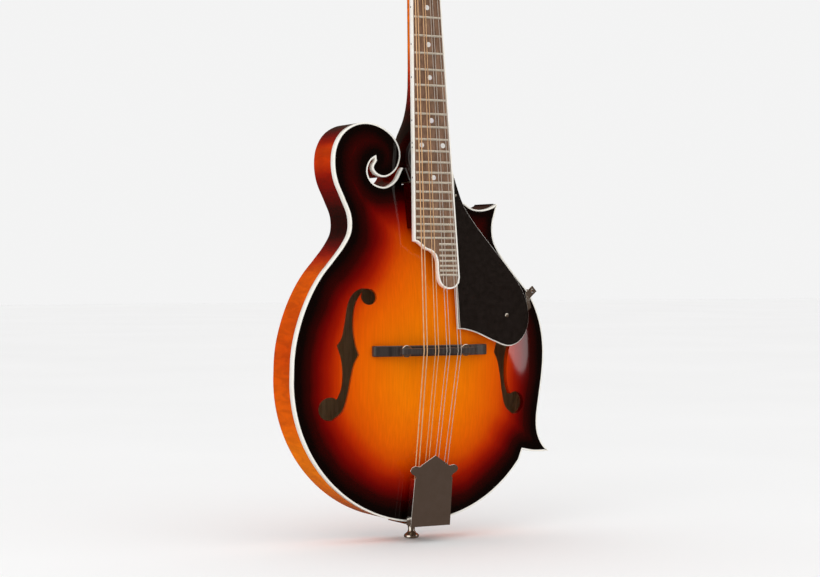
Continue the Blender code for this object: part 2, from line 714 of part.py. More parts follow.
def linings_and_blocks():
    """Linings along the inside of the ribs, and the solid blocks at the neck, the tail and the points."""
    path = lining_path()
    inner = inset(path, RIB_THICKNESS + GAP, closed=False)
    clear = inset(path, RIB_THICKNESS, closed=False)
    back = RIB_LOW
    front = PLATE_UNDERSIDE
    strip("lining_front", inner, front - LINING_DEPTH, front, LINING_WIDTH, BARE_WOOD)
    strip("lining_back", inner, back, back + LINING_DEPTH, LINING_WIDTH, BARE_WOOD)

    tail_arc = arc((0, BOUT_CENTRE_Z), BOUT_RADIUS - RIB_THICKNESS - GAP, *TAIL_BLOCK_DEGREES, 6 * MM)
    tail_front = [Vector(point) * MM for point in TAIL_BLOCK_FRONT]
    tail = flat("tail_block", tail_arc + tail_front, back, front, BARE_WOOD)
    room = LINING_DEPTH + GAP
    width = LINING_WIDTH + 2 * GAP
    cut(tail, strip("lining_room_front", clear, front - room, front + GAP, width, BARE_WOOD))
    cut(tail, strip("lining_room_back", clear, back - GAP, back + room, width, BARE_WOOD))

    lower = chain(
        part_of(LOWER_TREBLE_SIDE, LOWER_POINT_BLOCK[0], POINT_UNDERSIDE_RUN[-1]),
        part_of(WAIST_SIDE, WAIST_RUN[0], LOWER_POINT_BLOCK[1]),
        [Vector(point) * MM for point in LOWER_POINT_BACK],
    )
    outline_block("lower_point_block", lower)
    upper = chain(
        part_of(WAIST_SIDE, UPPER_POINT_BLOCK[0], WAIST_RUN[-1]),
        part_of(SHOULDER_SIDE, SHOULDER_RUN[0], UPPER_POINT_BLOCK[1]),
        [Vector(point) * MM for point in UPPER_POINT_BACK],
    )
    outline_block("upper_point_block", upper, stepped=False)

    behind_rib = RIB_THICKNESS + GAP
    bass = inset(part_of(BASS_SIDE, SCROLL_RUN[0], (-80.0, 308.0)), behind_rib, closed=False)
    shoulder = inset(part_of(SHOULDER_SIDE, (56.0, 297.0), NECK_POCKET[0]), behind_rib, closed=False)
    inner_face = [Vector(point) * MM for point in NECK_BLOCK_BACK]
    pocket = [Vector(point) * MM for point in NECK_POCKET]
    neck_block = outline_block("neck_block", chain(SLOT_SIDE, bass, inner_face, shoulder, pocket))
    cut(neck_block, tenon("tenon_room", GAP, BARE_WOOD))
    return tail


def tenon(name, room, surface):
    """The dovetail that joins the neck to its block, grown by room."""
    mouth = BODY_JOINT_Z + 2.5 * MM
    root = BODY_JOINT_Z - TENON_DEPTH - room
    outline = [
        Vector((-TENON_MOUTH - room, mouth)),
        Vector((-TENON_ROOT - room, root)),
        Vector((TENON_ROOT + room, root)),
        Vector((TENON_MOUTH + room, mouth)),
    ]
    return flat(name, outline, RIB_LOW + 3 * MM - room, PLATE_UNDERSIDE - MM + 2 * room, surface)


def tone_bars():
    """Two bars glued lengthwise under the top, shaped to its underside."""
    for name, x in (("tone_bar_bass", -23.0 * MM), ("tone_bar_treble", 23.0 * MM)):
        upper = []
        lower = []
        for step in range(13):
            z = (70 + 15 * step) * MM
            swell = math.sin(math.pi * step / 12)
            under = min(top_h(x - 3 * MM, z), top_h(x + 3 * MM, z)) - PLATE_THICKNESS - 1.1 * MM
            upper.append(Vector((z, under)))
            lower.append(Vector((z, under - (4 + 6 * swell) * MM)))
        flat(name, lower + upper[::-1], x - 3 * MM, x + 3 * MM, BARE_WOOD, frame=SIDE)


# ---------------------------------------------------------------------------
# Neck, fingerboard and headstock
# ---------------------------------------------------------------------------

def board_outline(extra=0.0):
    """The fingerboard with its binding, running down the bass side and up the treble side."""
    bass = Vector((-board_half_width(BOARD_BASS_CORNER * MM), BOARD_BASS_CORNER * MM))
    treble = Vector((board_half_width(BOARD_TREBLE_CORNER * MM), BOARD_TREBLE_CORNER * MM))
    start = Vector((-board_half_width(extra), extra))
    end = Vector((board_half_width(extra), extra))
    return [start, bass, *smooth_run(BOARD_END_RUN, 6 * MM), treble, end]


def fret_row(name):
    """All the frets: bars across the board, the last ones only on its treble extension."""
    mesh = bpy.data.meshes.new(name)
    work = bmesh.new()
    for number in range(1, LAST_FRET + 1):
        along = -fret_distance(number)
        edge = board_half_width(along) - BOARD_BINDING_WIDTH - 2 * GAP
        bass_end = -edge if along > BOARD_BASS_CORNER * MM else EXTENSION_FRET_START
        matrix = Matrix.Translation(((edge + bass_end) / 2, along, 0.0))
        matrix = matrix @ Matrix.Diagonal((edge - bass_end, FRET_WIDTH, 2 * FRET_HEIGHT, 1.0))
        bmesh.ops.create_cube(work, size=1.0, matrix=matrix)
    work.to_mesh(mesh)
    work.free()
    return add(name, mesh, NICKEL, BOARD, smooth=False)


def fingerboard():
    outline = board_outline(BOARD_BINDING_WIDTH + GAP)
    wood = inset(outline, BOARD_BINDING_WIDTH + GAP)
    board = flat("fingerboard", wood, -BOARD_THICKNESS, 0.0, ROSEWOOD, frame=BOARD)
    join(board, fret_row("frets"))
    edge = board_outline()
    strip("fingerboard_binding", edge, -BOARD_THICKNESS, 0.0, BOARD_BINDING_WIDTH, IVOROID, frame=BOARD)

    low = RISER_END_Z
    high = BODY_JOINT_Z - GAP
    under = 2 * GAP + 0.2 * MM
    outline = [
        Vector((low, top_h(0, low) + under)),
        Vector((high, top_h(0, high) + under)),
        Vector((high, board_bottom(high))),
        Vector((low, board_bottom(low))),
    ]
    flat("fingerboard_riser", outline, -RISER_HALF_WIDTH, RISER_HALF_WIDTH, SUNBURST_MAPLE, frame=SIDE)
    size = (2 * board_half_width(0) - GAP, NUT_LENGTH - 2 * GAP, BOARD_THICKNESS + NUT_RISE)
    block("nut", size, (0, NUT_LENGTH / 2, (NUT_RISE - BOARD_THICKNESS) / 2), BONE, frame=BOARD)


def board_bottom(z):
    """Height of the wood just under the fingerboard."""
    return board_h(z) - BOARD_THICKNESS / math.cos(NECK_ANGLE) - GAP


def neck_section(z, depth):
    """Half round at the shaft, fuller and deeper at the heel; points run from treble to bass."""
    share = min(1.0, max(0.0, (depth / MM - 17) / 36))
    width = board_half_width(z - NUT_Z) - share * MM
    power = 2 / (2 + 0.7 * share)
    past_nut = max(0.0, z - NUT_Z - NUT_LENGTH)
    top = board_bottom(z) - past_nut * math.tan(HEAD_ANGLE - NECK_ANGLE) - min(GAP, past_nut)
    section = []
    for step in range(13):
        angle = math.pi * step / 12
        across = math.copysign(abs(math.cos(angle)) ** power, math.cos(angle)) * width
        section.append((across, z, top - depth * math.sin(angle) ** power))
    return section


def neck():
    """The shaft and heel are one loft; the headstock is a flat piece joined to it at an angle."""
    mesh = bpy.data.meshes.new("neck")
    work = bmesh.new()
    rings = []
    for z, depth in NECK_STATIONS:
        rings.append([work.verts.new(point) for point in neck_section(z * MM, depth * MM)])
    for upper, lower in zip(rings, rings[1:]):
        for index in range(len(upper)):
            after = (index + 1) % len(upper)
            work.faces.new((upper[index], upper[after], lower[after], lower[index]))
    work.faces.new(rings[0][::-1])
    work.faces.new(rings[-1])
    bmesh.ops.recalc_face_normals(work, faces=work.faces)
    work.to_mesh(mesh)
    work.free()
    made = add("neck", mesh, SUNBURST_MAPLE, FACE)

    core_top = -VENEER_THICKNESS - GAP
    core_bottom = core_top - HEAD_THICKNESS
    core_holes = bores(POST_BORE)
    core = flat("headstock_core", head_outline(), core_bottom, core_top, SUNBURST_MAPLE, HEAD, core_holes)
    join(made, core, tenon("tenon", 0.0, SUNBURST_MAPLE))
    channel_top = -BOARD_THICKNESS + MM
    channel_bottom = TRUSS_AXIS - TRUSS_RADIUS - GAP
    channel = (channel_top + channel_bottom) / 2
    length = TRUSS_HEAD_END - TRUSS_BODY_END
    middle = (TRUSS_HEAD_END + TRUSS_BODY_END) / 2
    size = (2 * TRUSS_RADIUS + 2 * GAP, length, channel_top - channel_bottom)
    cut(made, block("truss_channel", size, (0, middle, channel), BARE_WOOD, BOARD))
    pocket = (POCKET_START + POCKET_END) / 2
    depth = channel_top - TRUSS_AXIS + TRUSS_NUT_RADIUS + GAP
    size = (POCKET_WIDTH, POCKET_END - POCKET_START, depth)
    cut(made, block("truss_pocket", size, (0, pocket, channel_top - depth / 2), BARE_WOOD, BOARD))

    lie = Matrix.Rotation(math.radians(-90), 4, "X")
    start = TRUSS_BODY_END + MM
    end = POCKET_START + MM
    rod("truss_rod", TRUSS_RADIUS, start, end, (0, 0, TRUSS_AXIS), STEEL, BOARD, 10, lie)
    nut_centre = (0, end + GAP, TRUSS_AXIS)
    rod("truss_rod_nut", TRUSS_NUT_RADIUS, 0, TRUSS_NUT_LENGTH, nut_centre, BRASS, BOARD, 6, lie)
    opening = [Vector(point) * MM for point in ((-4, 8), (4, 8), (4, 27), (-4, 27))]
    veneer_holes = [*bores(POST_RADIUS + 0.5 * MM), opening]
    flat("headstock_veneer", head_outline(GAP), -VENEER_THICKNESS, 0.0, EBONY, HEAD, veneer_holes)
    bell = smooth_run([(9.5, 6.0), (8.6, 14.0), (5.2, 24.0), (2.4, 32.0), (0.0, 34.0)], 5 * MM)
    bell = bell + [Vector((-point.x, point.y)) for point in reversed(bell[:-1])]
    flat("truss_rod_cover", bell, GAP, GAP + 1.5 * MM, BLACK_PLASTIC, HEAD)


def head_outline(start=0.0):
    """The headstock's outline, from the treble side of the nut round to the bass side."""
    corner = Vector((HEAD_OUTLINE[0][0] * MM, start))
    half = [corner, *smooth_run(HEAD_OUTLINE, 9 * MM)]
    return half + [Vector((-point.x, point.y)) for point in reversed(half[:-1])]


def post_places():
    """(side label, number, x, along) of the string posts: number 1 is nearest the nut."""
    for side, label in ((-1, "bass"), (1, "treble")):
        for number in range(4):
            yield label, number + 1, side * POST_X, FIRST_POST + number * POST_SPACING


def bores(radius):
    return [arc((x, along), radius, 0, 330, radius * 0.5236) for _, _, x, along in post_places()]


# ---------------------------------------------------------------------------
# Tuning machines
# ---------------------------------------------------------------------------

def tuners():
    back = -VENEER_THICKNESS - GAP - HEAD_THICKNESS - GAP
    plate_low = back - TUNER_PLATE_THICKNESS
    worm_out = plate_low - WORM_RADIUS - 2 * GAP
    worm_offset = GEAR_RADIUS + WORM_RADIUS + GAP
    for side, label in ((-1, "bass"), (1, "treble")):
        places = [(x, along) for name, _, x, along in post_places() if name == label]
        plate_outline = [
            Vector((side * (POST_X + across * MM), along * MM))
            for across, along in ((-7.5, 22.0), (7.5, 22.0), (7.5, 116.0), (-7.5, 116.0))
        ]
        holes = [arc(place_, POST_RADIUS + 2 * GAP, 0, 330, 2 * MM) for place_ in places]
        plate = flat("tuner_plate_" + label, plate_outline, plate_low, back, NICKEL, HEAD, holes)
        for x, along in places:
            for offset in (-EAR_OFFSET, EAR_OFFSET):
                join(plate, ear(x + offset, along - worm_offset, plate_low, worm_out))
    for label, number, x, along in post_places():
        side = -1 if label == "bass" else 1
        gear_top = plate_low - 2 * GAP
        gear_bottom = gear_top - GEAR_THICKNESS
        profile = [
            (0.0, POST_RISE), (2.2 * MM, POST_RISE), (2.7 * MM, POST_RISE - 0.8 * MM), (2.7 * MM, 9.4 * MM),
            (POST_WAIST, 8.4 * MM), (POST_WAIST, 5.6 * MM), (POST_RADIUS, 4.6 * MM), (POST_RADIUS, gear_top),
            (GEAR_RADIUS, gear_top), (GEAR_RADIUS, gear_bottom), (0.0, gear_bottom),
        ]
        turned(f"tuner_post_{label}_{number}", profile, NICKEL, place(HEAD, x, along, 0))
        outward = Matrix.Rotation(side * math.radians(90), 4, "Y")
        frame = place(HEAD, x, along - worm_offset, worm_out) @ outward
        profile = [
            (0.0, KNOB_START + 3 * MM), (SHAFT_RADIUS, KNOB_START + 3 * MM), (SHAFT_RADIUS, 4.2 * MM),
            (WORM_RADIUS, 4.0 * MM), (WORM_RADIUS, -4.0 * MM), (SHAFT_RADIUS, -4.2 * MM),
            (SHAFT_RADIUS, -7.4 * MM), (0.0, -7.4 * MM),
        ]
        button = turned(f"tuner_button_{label}_{number}", profile, PEARL, frame, steps=8)
        knob_middle = (0, 0, KNOB_START + KNOB_SIZE[2] / 2)
        join(button, block("knob", KNOB_SIZE, knob_middle, PEARL, frame, KNOB_BEVEL))


def ear(x, along, plate_low, worm_out):
    """A bearing for one end of a worm, standing on its plate."""
    turn = Matrix(((0, 0, 1, 0), (1, 0, 0, 0), (0, 1, 0, 0), (0, 0, 0, 1)))
    low = worm_out - EAR_HALF_WIDTH
    high = plate_low + TUNER_PLATE_THICKNESS / 2
    corners = ((-1, low), (1, low), (1, high), (-1, high))
    outline = [Vector((side * EAR_HALF_WIDTH, out)) for side, out in corners]
    hole = arc((0, worm_out), SHAFT_RADIUS + 1.4 * GAP, 0, 300, 1.9 * MM)
    frame = place(HEAD, x, along, 0) @ turn
    return flat("ear", outline, -EAR_THICKNESS / 2, EAR_THICKNESS / 2, NICKEL, frame, [hole])


# ---------------------------------------------------------------------------
# Bridge
# ---------------------------------------------------------------------------

def bridge():
    """A base fitted to the top, two studs with thumbwheels, and the saddle that rides on them."""
    plan = PLAN @ Matrix.Translation((0, 0, -BRIDGE_Z))
    rows = 13
    feet = []
    for step in range(rows):
        x = BASE_HALF_LENGTH * (2 * step / (rows - 1) - 1)
        feet.append(Vector((x, top_h(x, BRIDGE_Z) + 0.45 * MM)))
    end = feet[-1].y
    crown = [
        (1.0, end + 4.6 * MM), (0.93, end + 6.2 * MM), (0.68, BASE_TOP_H - 0.4 * MM), (0.62, BASE_TOP_H),
    ]
    upper = [Vector((share * BASE_HALF_LENGTH, h)) for share, h in crown]
    outline = feet + upper + [Vector((-point.x, point.y)) for point in reversed(upper)]
    base = flat("bridge_base", outline, -BASE_WIDTH / 2, BASE_WIDTH / 2, EBONY, plan)

    outline = [Vector(point) * MM for point in SADDLE_OUTLINE]
    top = flat("bridge_saddle", outline, -SADDLE_WIDTH / 2, SADDLE_WIDTH / 2, EBONY, plan)
    bore = STUD_RADIUS + 1.3 * GAP
    half = WHEEL_THICKNESS / 2
    chamfer = 0.3 * MM
    for label, x in (("bass", -BRIDGE_POST_X), ("treble", BRIDGE_POST_X)):
        foot = (x, BRIDGE_Z, 0)
        join(base, rod("stud_" + label, STUD_RADIUS, STUD_FOOT_H, STUD_TOP_H, foot, NICKEL, sides=12))
        cut(top, rod("stud_room_" + label, bore, STUD_FOOT_H, STUD_TOP_H + 2 * MM, foot, NICKEL))
        wheel_profile = [
            (bore, half), (WHEEL_RADIUS - chamfer, half), (WHEEL_RADIUS, half - chamfer),
            (WHEEL_RADIUS, chamfer - half), (WHEEL_RADIUS - chamfer, -half), (bore, -half),
        ]
        middle = SADDLE_BOTTOM_H - GAP - half
        frame = place(FACE, x, BRIDGE_Z, middle)
        turned("thumbwheel_" + label, wheel_profile, NICKEL, frame, steps=16, ring=True)


# ---------------------------------------------------------------------------
# Tailpiece and strap button
# ---------------------------------------------------------------------------

def tailpiece(ribs, tail_block):
    bend = [Vector(point) * MM for point in ((16.2, -33.0), (16.2, 3.0), (18.6, 8.0), (53.0, 11.0))]
    half = BASE_PLATE_HALF_WIDTH
    base = strip("tailpiece_base", bend, -half, half, SHEET, NICKEL, frame=SIDE)
    for _, x, _ in string_places(COURSES_AT_TAIL, PAIR_AT_TAIL):
        centre = (x, HOOK_Z - 1.6 * MM, 12.6 * MM)
        join(base, block("hook", (1.3 * MM, 1.2 * MM, 3.4 * MM), centre, NICKEL))

    sheet = [Vector(point) * MM for point in COVER_OUTLINE]
    sheet = sheet + [Vector((-point.x, point.y)) for point in reversed(sheet[:-1])]
    cover = flat("tailpiece_cover", sheet, -SHEET, 0.0, NICKEL, frame=COVER)
    for side in (-1, 1):
        wall = [Vector((side * 20.0, 0.2)) * MM, Vector((side * 19.1, 43.0)) * MM]
        wall = wall if side == 1 else wall[::-1]
        join(cover, strip("cover_side", wall, -8.5 * MM, -SHEET / 2, SHEET, NICKEL, frame=COVER))
    lip_centre = (0, SHEET / 2 + 0.1 * MM, -1.65 * MM)
    join(cover, block("cover_lip", (39.4 * MM, SHEET, 2.8 * MM), lip_centre, NICKEL, frame=COVER))

    profile = [
        (0.0, 33.0), (1.5, 31.5), (2.3, 29.0), (2.3, 15.0), (4.4, 15.0), (4.2, 13.0), (3.2, 9.5), (3.2, 6.5),
        (4.4, 4.4), (6.4, 3.0), (6.9, 1.6), (6.6, 0.5), (5.9, 0.0), (0.0, 0.0),
    ]
    profile = [(radius * MM, height * MM) for radius, height in profile]
    world = Matrix.Identity(4)
    turned("strap_button", profile, NICKEL, world, 16)
    for piece in (*ribs, tail_block, base):
        name = "pin_hole_" + piece.name
        cut(piece, rod(name, STRAP_PIN_HOLE, 10 * MM, 34 * MM, (0, 0, 0), NICKEL, frame=world))


# ---------------------------------------------------------------------------
# Strings
# ---------------------------------------------------------------------------

def string_places(course, pair):
    """(name, x, radius) of the eight strings, from the bass side, for a spacing of courses and pairs."""
    for index, label in enumerate(("g", "d", "a", "e")):
        for half in (-1, 1):
            number = 1 if half == -1 else 2
            yield f"string_{label}_{number}", (index - 1.5) * course + half * pair, STRING_RADII[index]


def strings():
    tail = list(string_places(COURSES_AT_TAIL, PAIR_AT_TAIL))
    saddle = list(string_places(COURSES_AT_SADDLE, PAIR_AT_SADDLE))
    nut = list(string_places(COURSES_AT_NUT, PAIR_AT_NUT))
    posts = {(label, number): (x, along) for label, number, x, along in post_places()}
    for index, (name, tail_x, radius) in enumerate(tail):
        side = -1 if index < 4 else 1
        number = index + 1 if index < 4 else 8 - index
        x, along = posts["bass" if side < 0 else "treble", number]
        wrap = POST_WAIST + radius + GAP
        points = [
            FACE @ Vector((tail_x, HOOK_Z, HOOK_H)),
            FACE @ Vector((saddle[index][1], BRIDGE_Z, SADDLE_TOP_H)),
            BOARD @ Vector((nut[index][1], NUT_LENGTH / 2, NUT_RISE + GAP + radius)),
        ]
        for step in range(7):
            angle = math.radians(180 - 45 * step) if side > 0 else math.radians(45 * step)
            turn = Vector((math.cos(angle), math.sin(angle))) * wrap
            height = STRING_POST_OUT - 0.12 * MM * step
            points.append(HEAD @ Vector((x + turn.x, along + turn.y, height)))
        wire(name, points, radius, BRONZE if index < 4 else STEEL)


# ---------------------------------------------------------------------------
# Pickguard
# ---------------------------------------------------------------------------

def pickguard():
    tilt = Matrix.Rotation(math.radians(90) - PICKGUARD_SLOPE, 4, "X")
    frame = Matrix.Translation((0, FACE_Y - PICKGUARD_H, PICKGUARD_Z)) @ tilt
    run = smooth_run(PICKGUARD_RUN, 12 * MM) + [Vector(PICKGUARD_NECK_EDGE) * MM]
    outline = [Vector((point.x, point.y - PICKGUARD_Z)) for point in run]
    flat("pickguard", outline, -PICKGUARD_THICKNESS, 0.0, BLACK_PLASTIC, frame)

    # The bracket runs out under the pickguard to the rim, where a clamp grips the body's edge.
    turn = Matrix.Rotation(math.radians(CLAMP_AXIS_DEGREES), 4, "Z")
    rim = place(FACE, CLAMP_X * MM, CLAMP_Z * MM, 0) @ turn
    side_view = rim @ Matrix(((1, 0, 0, 0), (0, 0, -1, 0), (0, 1, 0, 0), (0, 0, 0, 1)))
    arm = [Vector(point) * MM for point in ((-48.0, 18.6), (-16.0, 17.6), (-4.0, 0.6), (6.6, 0.6))]
    bracket = strip("pickguard_bracket", arm, -3.5 * MM, 3.5 * MM, 1.0 * MM, NICKEL, side_view)
    bolt = (CLAMP_BOLT_OUT, 0, 0)
    cut(bracket, rod("clamp_hole", CLAMP_BOLT_RADIUS + 0.4 * MM, -3 * MM, 3 * MM, bolt, NICKEL, rim, 12))
    length = RIM_DEPTH + 7 * MM
    clamp = rod("pickguard_clamp", CLAMP_BOLT_RADIUS, 4 * MM - length, 4 * MM, bolt, NICKEL, rim, 12)
    jaw = block("clamp_jaw", (11 * MM, 7 * MM, 1.4 * MM), (0.6 * MM, 0, -RIM_DEPTH - 1.2 * MM), NICKEL, rim)
    join(clamp, jaw)


def build():
    plates()
    ribs = binding_and_ribs()
    tail_block = linings_and_blocks()
    tone_bars()
    fingerboard()
    neck()
    tuners()
    bridge()
    tailpiece(ribs, tail_block)
    strings()
    pickguard()


build()
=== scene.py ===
"""The looks of a carved F-style mandolin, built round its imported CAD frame."""

import json
import math

import bmesh
import bpy
import numpy as np
from mathutils import Matrix, Vector
from mathutils.geometry import delaunay_2d_cdt

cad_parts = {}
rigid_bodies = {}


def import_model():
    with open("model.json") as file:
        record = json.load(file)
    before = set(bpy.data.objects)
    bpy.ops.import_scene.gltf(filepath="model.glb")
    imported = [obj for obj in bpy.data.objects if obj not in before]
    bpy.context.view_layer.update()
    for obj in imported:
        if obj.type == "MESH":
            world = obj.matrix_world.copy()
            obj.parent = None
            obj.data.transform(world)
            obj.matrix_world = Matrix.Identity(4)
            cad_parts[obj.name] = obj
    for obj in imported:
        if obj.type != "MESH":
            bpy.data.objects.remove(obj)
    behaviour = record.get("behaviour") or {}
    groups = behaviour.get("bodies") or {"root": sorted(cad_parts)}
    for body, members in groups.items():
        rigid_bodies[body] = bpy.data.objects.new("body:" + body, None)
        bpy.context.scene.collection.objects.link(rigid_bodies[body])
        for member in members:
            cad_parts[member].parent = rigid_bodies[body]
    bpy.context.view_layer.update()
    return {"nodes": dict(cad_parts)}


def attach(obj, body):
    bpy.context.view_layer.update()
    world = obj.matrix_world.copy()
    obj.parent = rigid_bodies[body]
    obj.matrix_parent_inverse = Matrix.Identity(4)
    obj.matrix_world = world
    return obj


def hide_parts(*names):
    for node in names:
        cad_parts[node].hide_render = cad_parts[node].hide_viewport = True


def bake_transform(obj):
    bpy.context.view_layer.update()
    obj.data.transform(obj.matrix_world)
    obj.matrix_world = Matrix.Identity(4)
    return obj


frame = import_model()
NODES = frame["nodes"]
MM = 0.001
GAP = 0.3 * MM

# Body box. Its length and width here are those of the plates' lattice, a little more than the body's.
RIM_DEPTH = 40.0 * MM
FACE_Y = -RIM_DEPTH / 2
BODY_LENGTH = 400.0 * MM
BODY_WIDTH = 270.0 * MM
BOUT_CENTRE_Z = 145.0 * MM
BOUT_RADIUS = 128.5 * MM
BOUT_TOP_RISE = 30.0 * MM
WAIST_HALF_WIDTH = 72.0 * MM
WAIST_Z = 285.0 * MM
PLATE_THICKNESS = 4.2 * MM
PLATE_MESH_STEP = 4.5 * MM
TOP_ARCH = 17.0 * MM
BACK_ARCH = 13.0 * MM
ARCH_MIDDLE_Z = 175.0 * MM
ARCH_TAIL_Z = 17.0 * MM
ARCH_NECK_Z = 320.0 * MM
BINDING_WIDTH = 1.6 * MM
BINDING_DEPTH = 6.5 * MM
MITRE_LIMIT = 4.5
PURFLING_WIDTH = 0.42 * MM
PURFLING_DEPTH = 1.2 * MM
SIDE_THICKNESS = 1.2 * MM
SLOT_SIDE_TOP_Z = 335.5 * MM
SLOT_TIP_X = -30.0 * MM
BLOCK_INSET = 1.5 * MM
TAIL_POINT = (0.0, 16.5)

# Neck and fingerboard
SCALE_LENGTH = 352.4 * MM
NUT_Z = 523.5 * MM
NUT_H = 5.1 * MM
NECK_ANGLE = math.radians(4.57)
BOARD_THICKNESS = 5.0 * MM
BOARD_NUT_HALF_WIDTH = 13.7 * MM
BOARD_END_HALF_WIDTH = 22.8 * MM
LAST_FRET = 29
BOARD_BINDING_WIDTH = 1.5 * MM
FRET_HEIGHT = 1.0 * MM
FRET_WIDTH = 2.0 * MM
BODY_JOINT_Z = 320.5 * MM
NUT_LENGTH = 5.0 * MM
NUT_RISE = 0.9 * MM
NUT_ROUNDING = 0.6 * MM
NUT_SLOT_DEPTH = 0.25 * MM
HEEL_FULL_DEPTH = 53.0
SHAFT_DEPTH = 17.0
HEEL_TOP = 404.0
HEEL_STEP = 2.5
SHAFT_STEP = 6.0
NECK_SIDES = 36
DOT_RADIUS = 2.3 * MM
DOT_RISE = 0.06 * MM
DOT_DEPTH = 0.3 * MM
DOT_SLOPE = 0.2 * MM
SIDE_DOT_RADIUS = 0.8 * MM
DOTTED_FRETS = (3, 5, 7, 10, 12, 15)
OCTAVE_FRET = 12
OCTAVE_DOTS = (-10.7 * MM, 10.7 * MM)
OCTAVE_SIDE_DOTS = (-2.0 * MM, 2.0 * MM)
EXTENSION_FRET_START = 2.8 * MM
RISER_END_Z = 279.2 * MM
RISER_HALF_WIDTH = 19.6 * MM

# Headstock
HEAD_ANGLE = math.radians(14.0)
HEAD_THICKNESS = 14.0 * MM
VENEER_THICKNESS = 1.6 * MM
POST_SPACING = 23.0 * MM
FIRST_POST = 38.0 * MM
POST_X = 17.0 * MM
POST_RADIUS = 3.0 * MM
POST_HOLE_OUT = 10.8 * MM
GEAR_RADIUS = 6.2 * MM
GEAR_TEETH = 14
WORM_RADIUS = 2.4 * MM
WORM_THREAD_DEPTH = 0.7 * MM
WORM_PITCH = 2.4 * MM
WORM_HALF_LENGTH = 4.1 * MM
STRING_POST_OUT = 7.4 * MM
TUNER_PLATE_THICKNESS = 1.0 * MM
GEAR_THICKNESS = 3.4 * MM
KNOB_START = 24.0 * MM
KNOB_SIZE = (6.3 * MM, 13.4 * MM, 10.4 * MM)
TUNER_PLATE_SCREWS = (24.5 * MM, 60.5 * MM, 83.5 * MM, 113.0 * MM)
TUNER_PLATE_SCREW_X = POST_X - 5.2 * MM

# Bridge and strings
BRIDGE_Z = 171.0 * MM
SADDLE_TOP_H = 38.0 * MM
SADDLE_BOTTOM_H = 27.3 * MM
BASE_HALF_LENGTH = 57.5 * MM
BASE_WIDTH = 9.4 * MM
BRIDGE_POST_X = 30.0 * MM
WHEEL_THICKNESS = 2.2 * MM
STUD_RADIUS = 1.7 * MM
STUD_PITCH = 0.7 * MM
THREAD_DEPTH = 0.22 * MM
STUD_TOP_H = 32.0 * MM
BASE_TOP_H = 23.2 * MM
SADDLE_WIDTH = 5.2 * MM
SADDLE_CREST_H = 36.75 * MM
SEAT_SIZE = (0.9 * MM, 2.2 * MM, 1.0 * MM)
WOUND_SEAT_SHIFT = 0.9 * MM
PLAIN_SEAT_SHIFT = -0.6 * MM
KNURLS = 44
KNURL_DEPTH = 0.22
COURSES_AT_NUT = 7.0 * MM
COURSES_AT_SADDLE = 11.5 * MM
COURSES_AT_TAIL = 9.2 * MM
PAIR_AT_NUT = 1.15 * MM
PAIR_AT_SADDLE = 1.6 * MM
PAIR_AT_TAIL = 1.7 * MM
HOOK_Z = 45.0 * MM
HOOK_H = 12.6 * MM
HOOK_RADIUS = 0.6 * MM
LOOP_RADIUS = 1.0 * MM
LOOP_DROP = 1.7 * MM
WINDING_RADIUS = 2.2 * MM
WINDING_DROP = 0.09 * MM
WOUND_STRINGS = 4
STRING_RADII = (0.5 * MM, 0.33 * MM, 0.25 * MM, 0.25 * MM)

# Tailpiece
COVER_SLOPE = math.radians(8.2)
COVER_Z = 14.2 * MM
COVER_H = 15.4 * MM
SHEET = 0.8 * MM
BASE_PLATE_HALF_WIDTH = 17.0 * MM
# Half of the cover's outline, in millimetres, from a corner of its lip to its point.
COVER_OUTLINE = [
    (20.1, 0.0), (19.2, 43.5), (18.2, 44.5), (19.6, 47.0), (22.4, 48.6), (24.2, 51.5), (22.6, 54.3),
    (20.0, 55.6), (14.5, 55.0), (13.2, 56.2), (0.0, 64.6),
]


def turn(degrees, axis):
    return Matrix.Rotation(math.radians(degrees), 4, axis)


def leaning(y, z, slope):
    """A frame on the middle line whose out direction is the face's, tipped up by a slope."""
    return Matrix.Translation((0, y, z)) @ Matrix.Rotation(math.radians(90) - slope, 4, "X")


def in_mm(points):
    """Points given in millimetres, as vectors."""
    return [Vector(point) * MM for point in points]


# Frames: each maps (across, along, out) to the world.
FACE = leaning(FACE_Y, 0, 0.0)
BOARD = leaning(FACE_Y - NUT_H, NUT_Z, NECK_ANGLE)
COVER = leaning(FACE_Y - COVER_H, COVER_Z, -COVER_SLOPE)
# SIDE takes (z, h, x), for outlines seen from the treble side. PLAN takes (x, h, -z), seen from above.
SIDE = Matrix(((0, 0, 1, 0), (0, -1, 0, FACE_Y), (1, 0, 0, 0), (0, 0, 0, 1)))
PLAN = Matrix(((1, 0, 0, 0), (0, -1, 0, FACE_Y), (0, 0, -1, 0), (0, 0, 0, 1)))
HEAD_FACE_DROP = BOARD_THICKNESS - VENEER_THICKNESS
HEAD = (
    BOARD
    @ Matrix.Translation((0, NUT_LENGTH, -HEAD_FACE_DROP))
    @ Matrix.Rotation(NECK_ANGLE - HEAD_ANGLE, 4, "X")
)

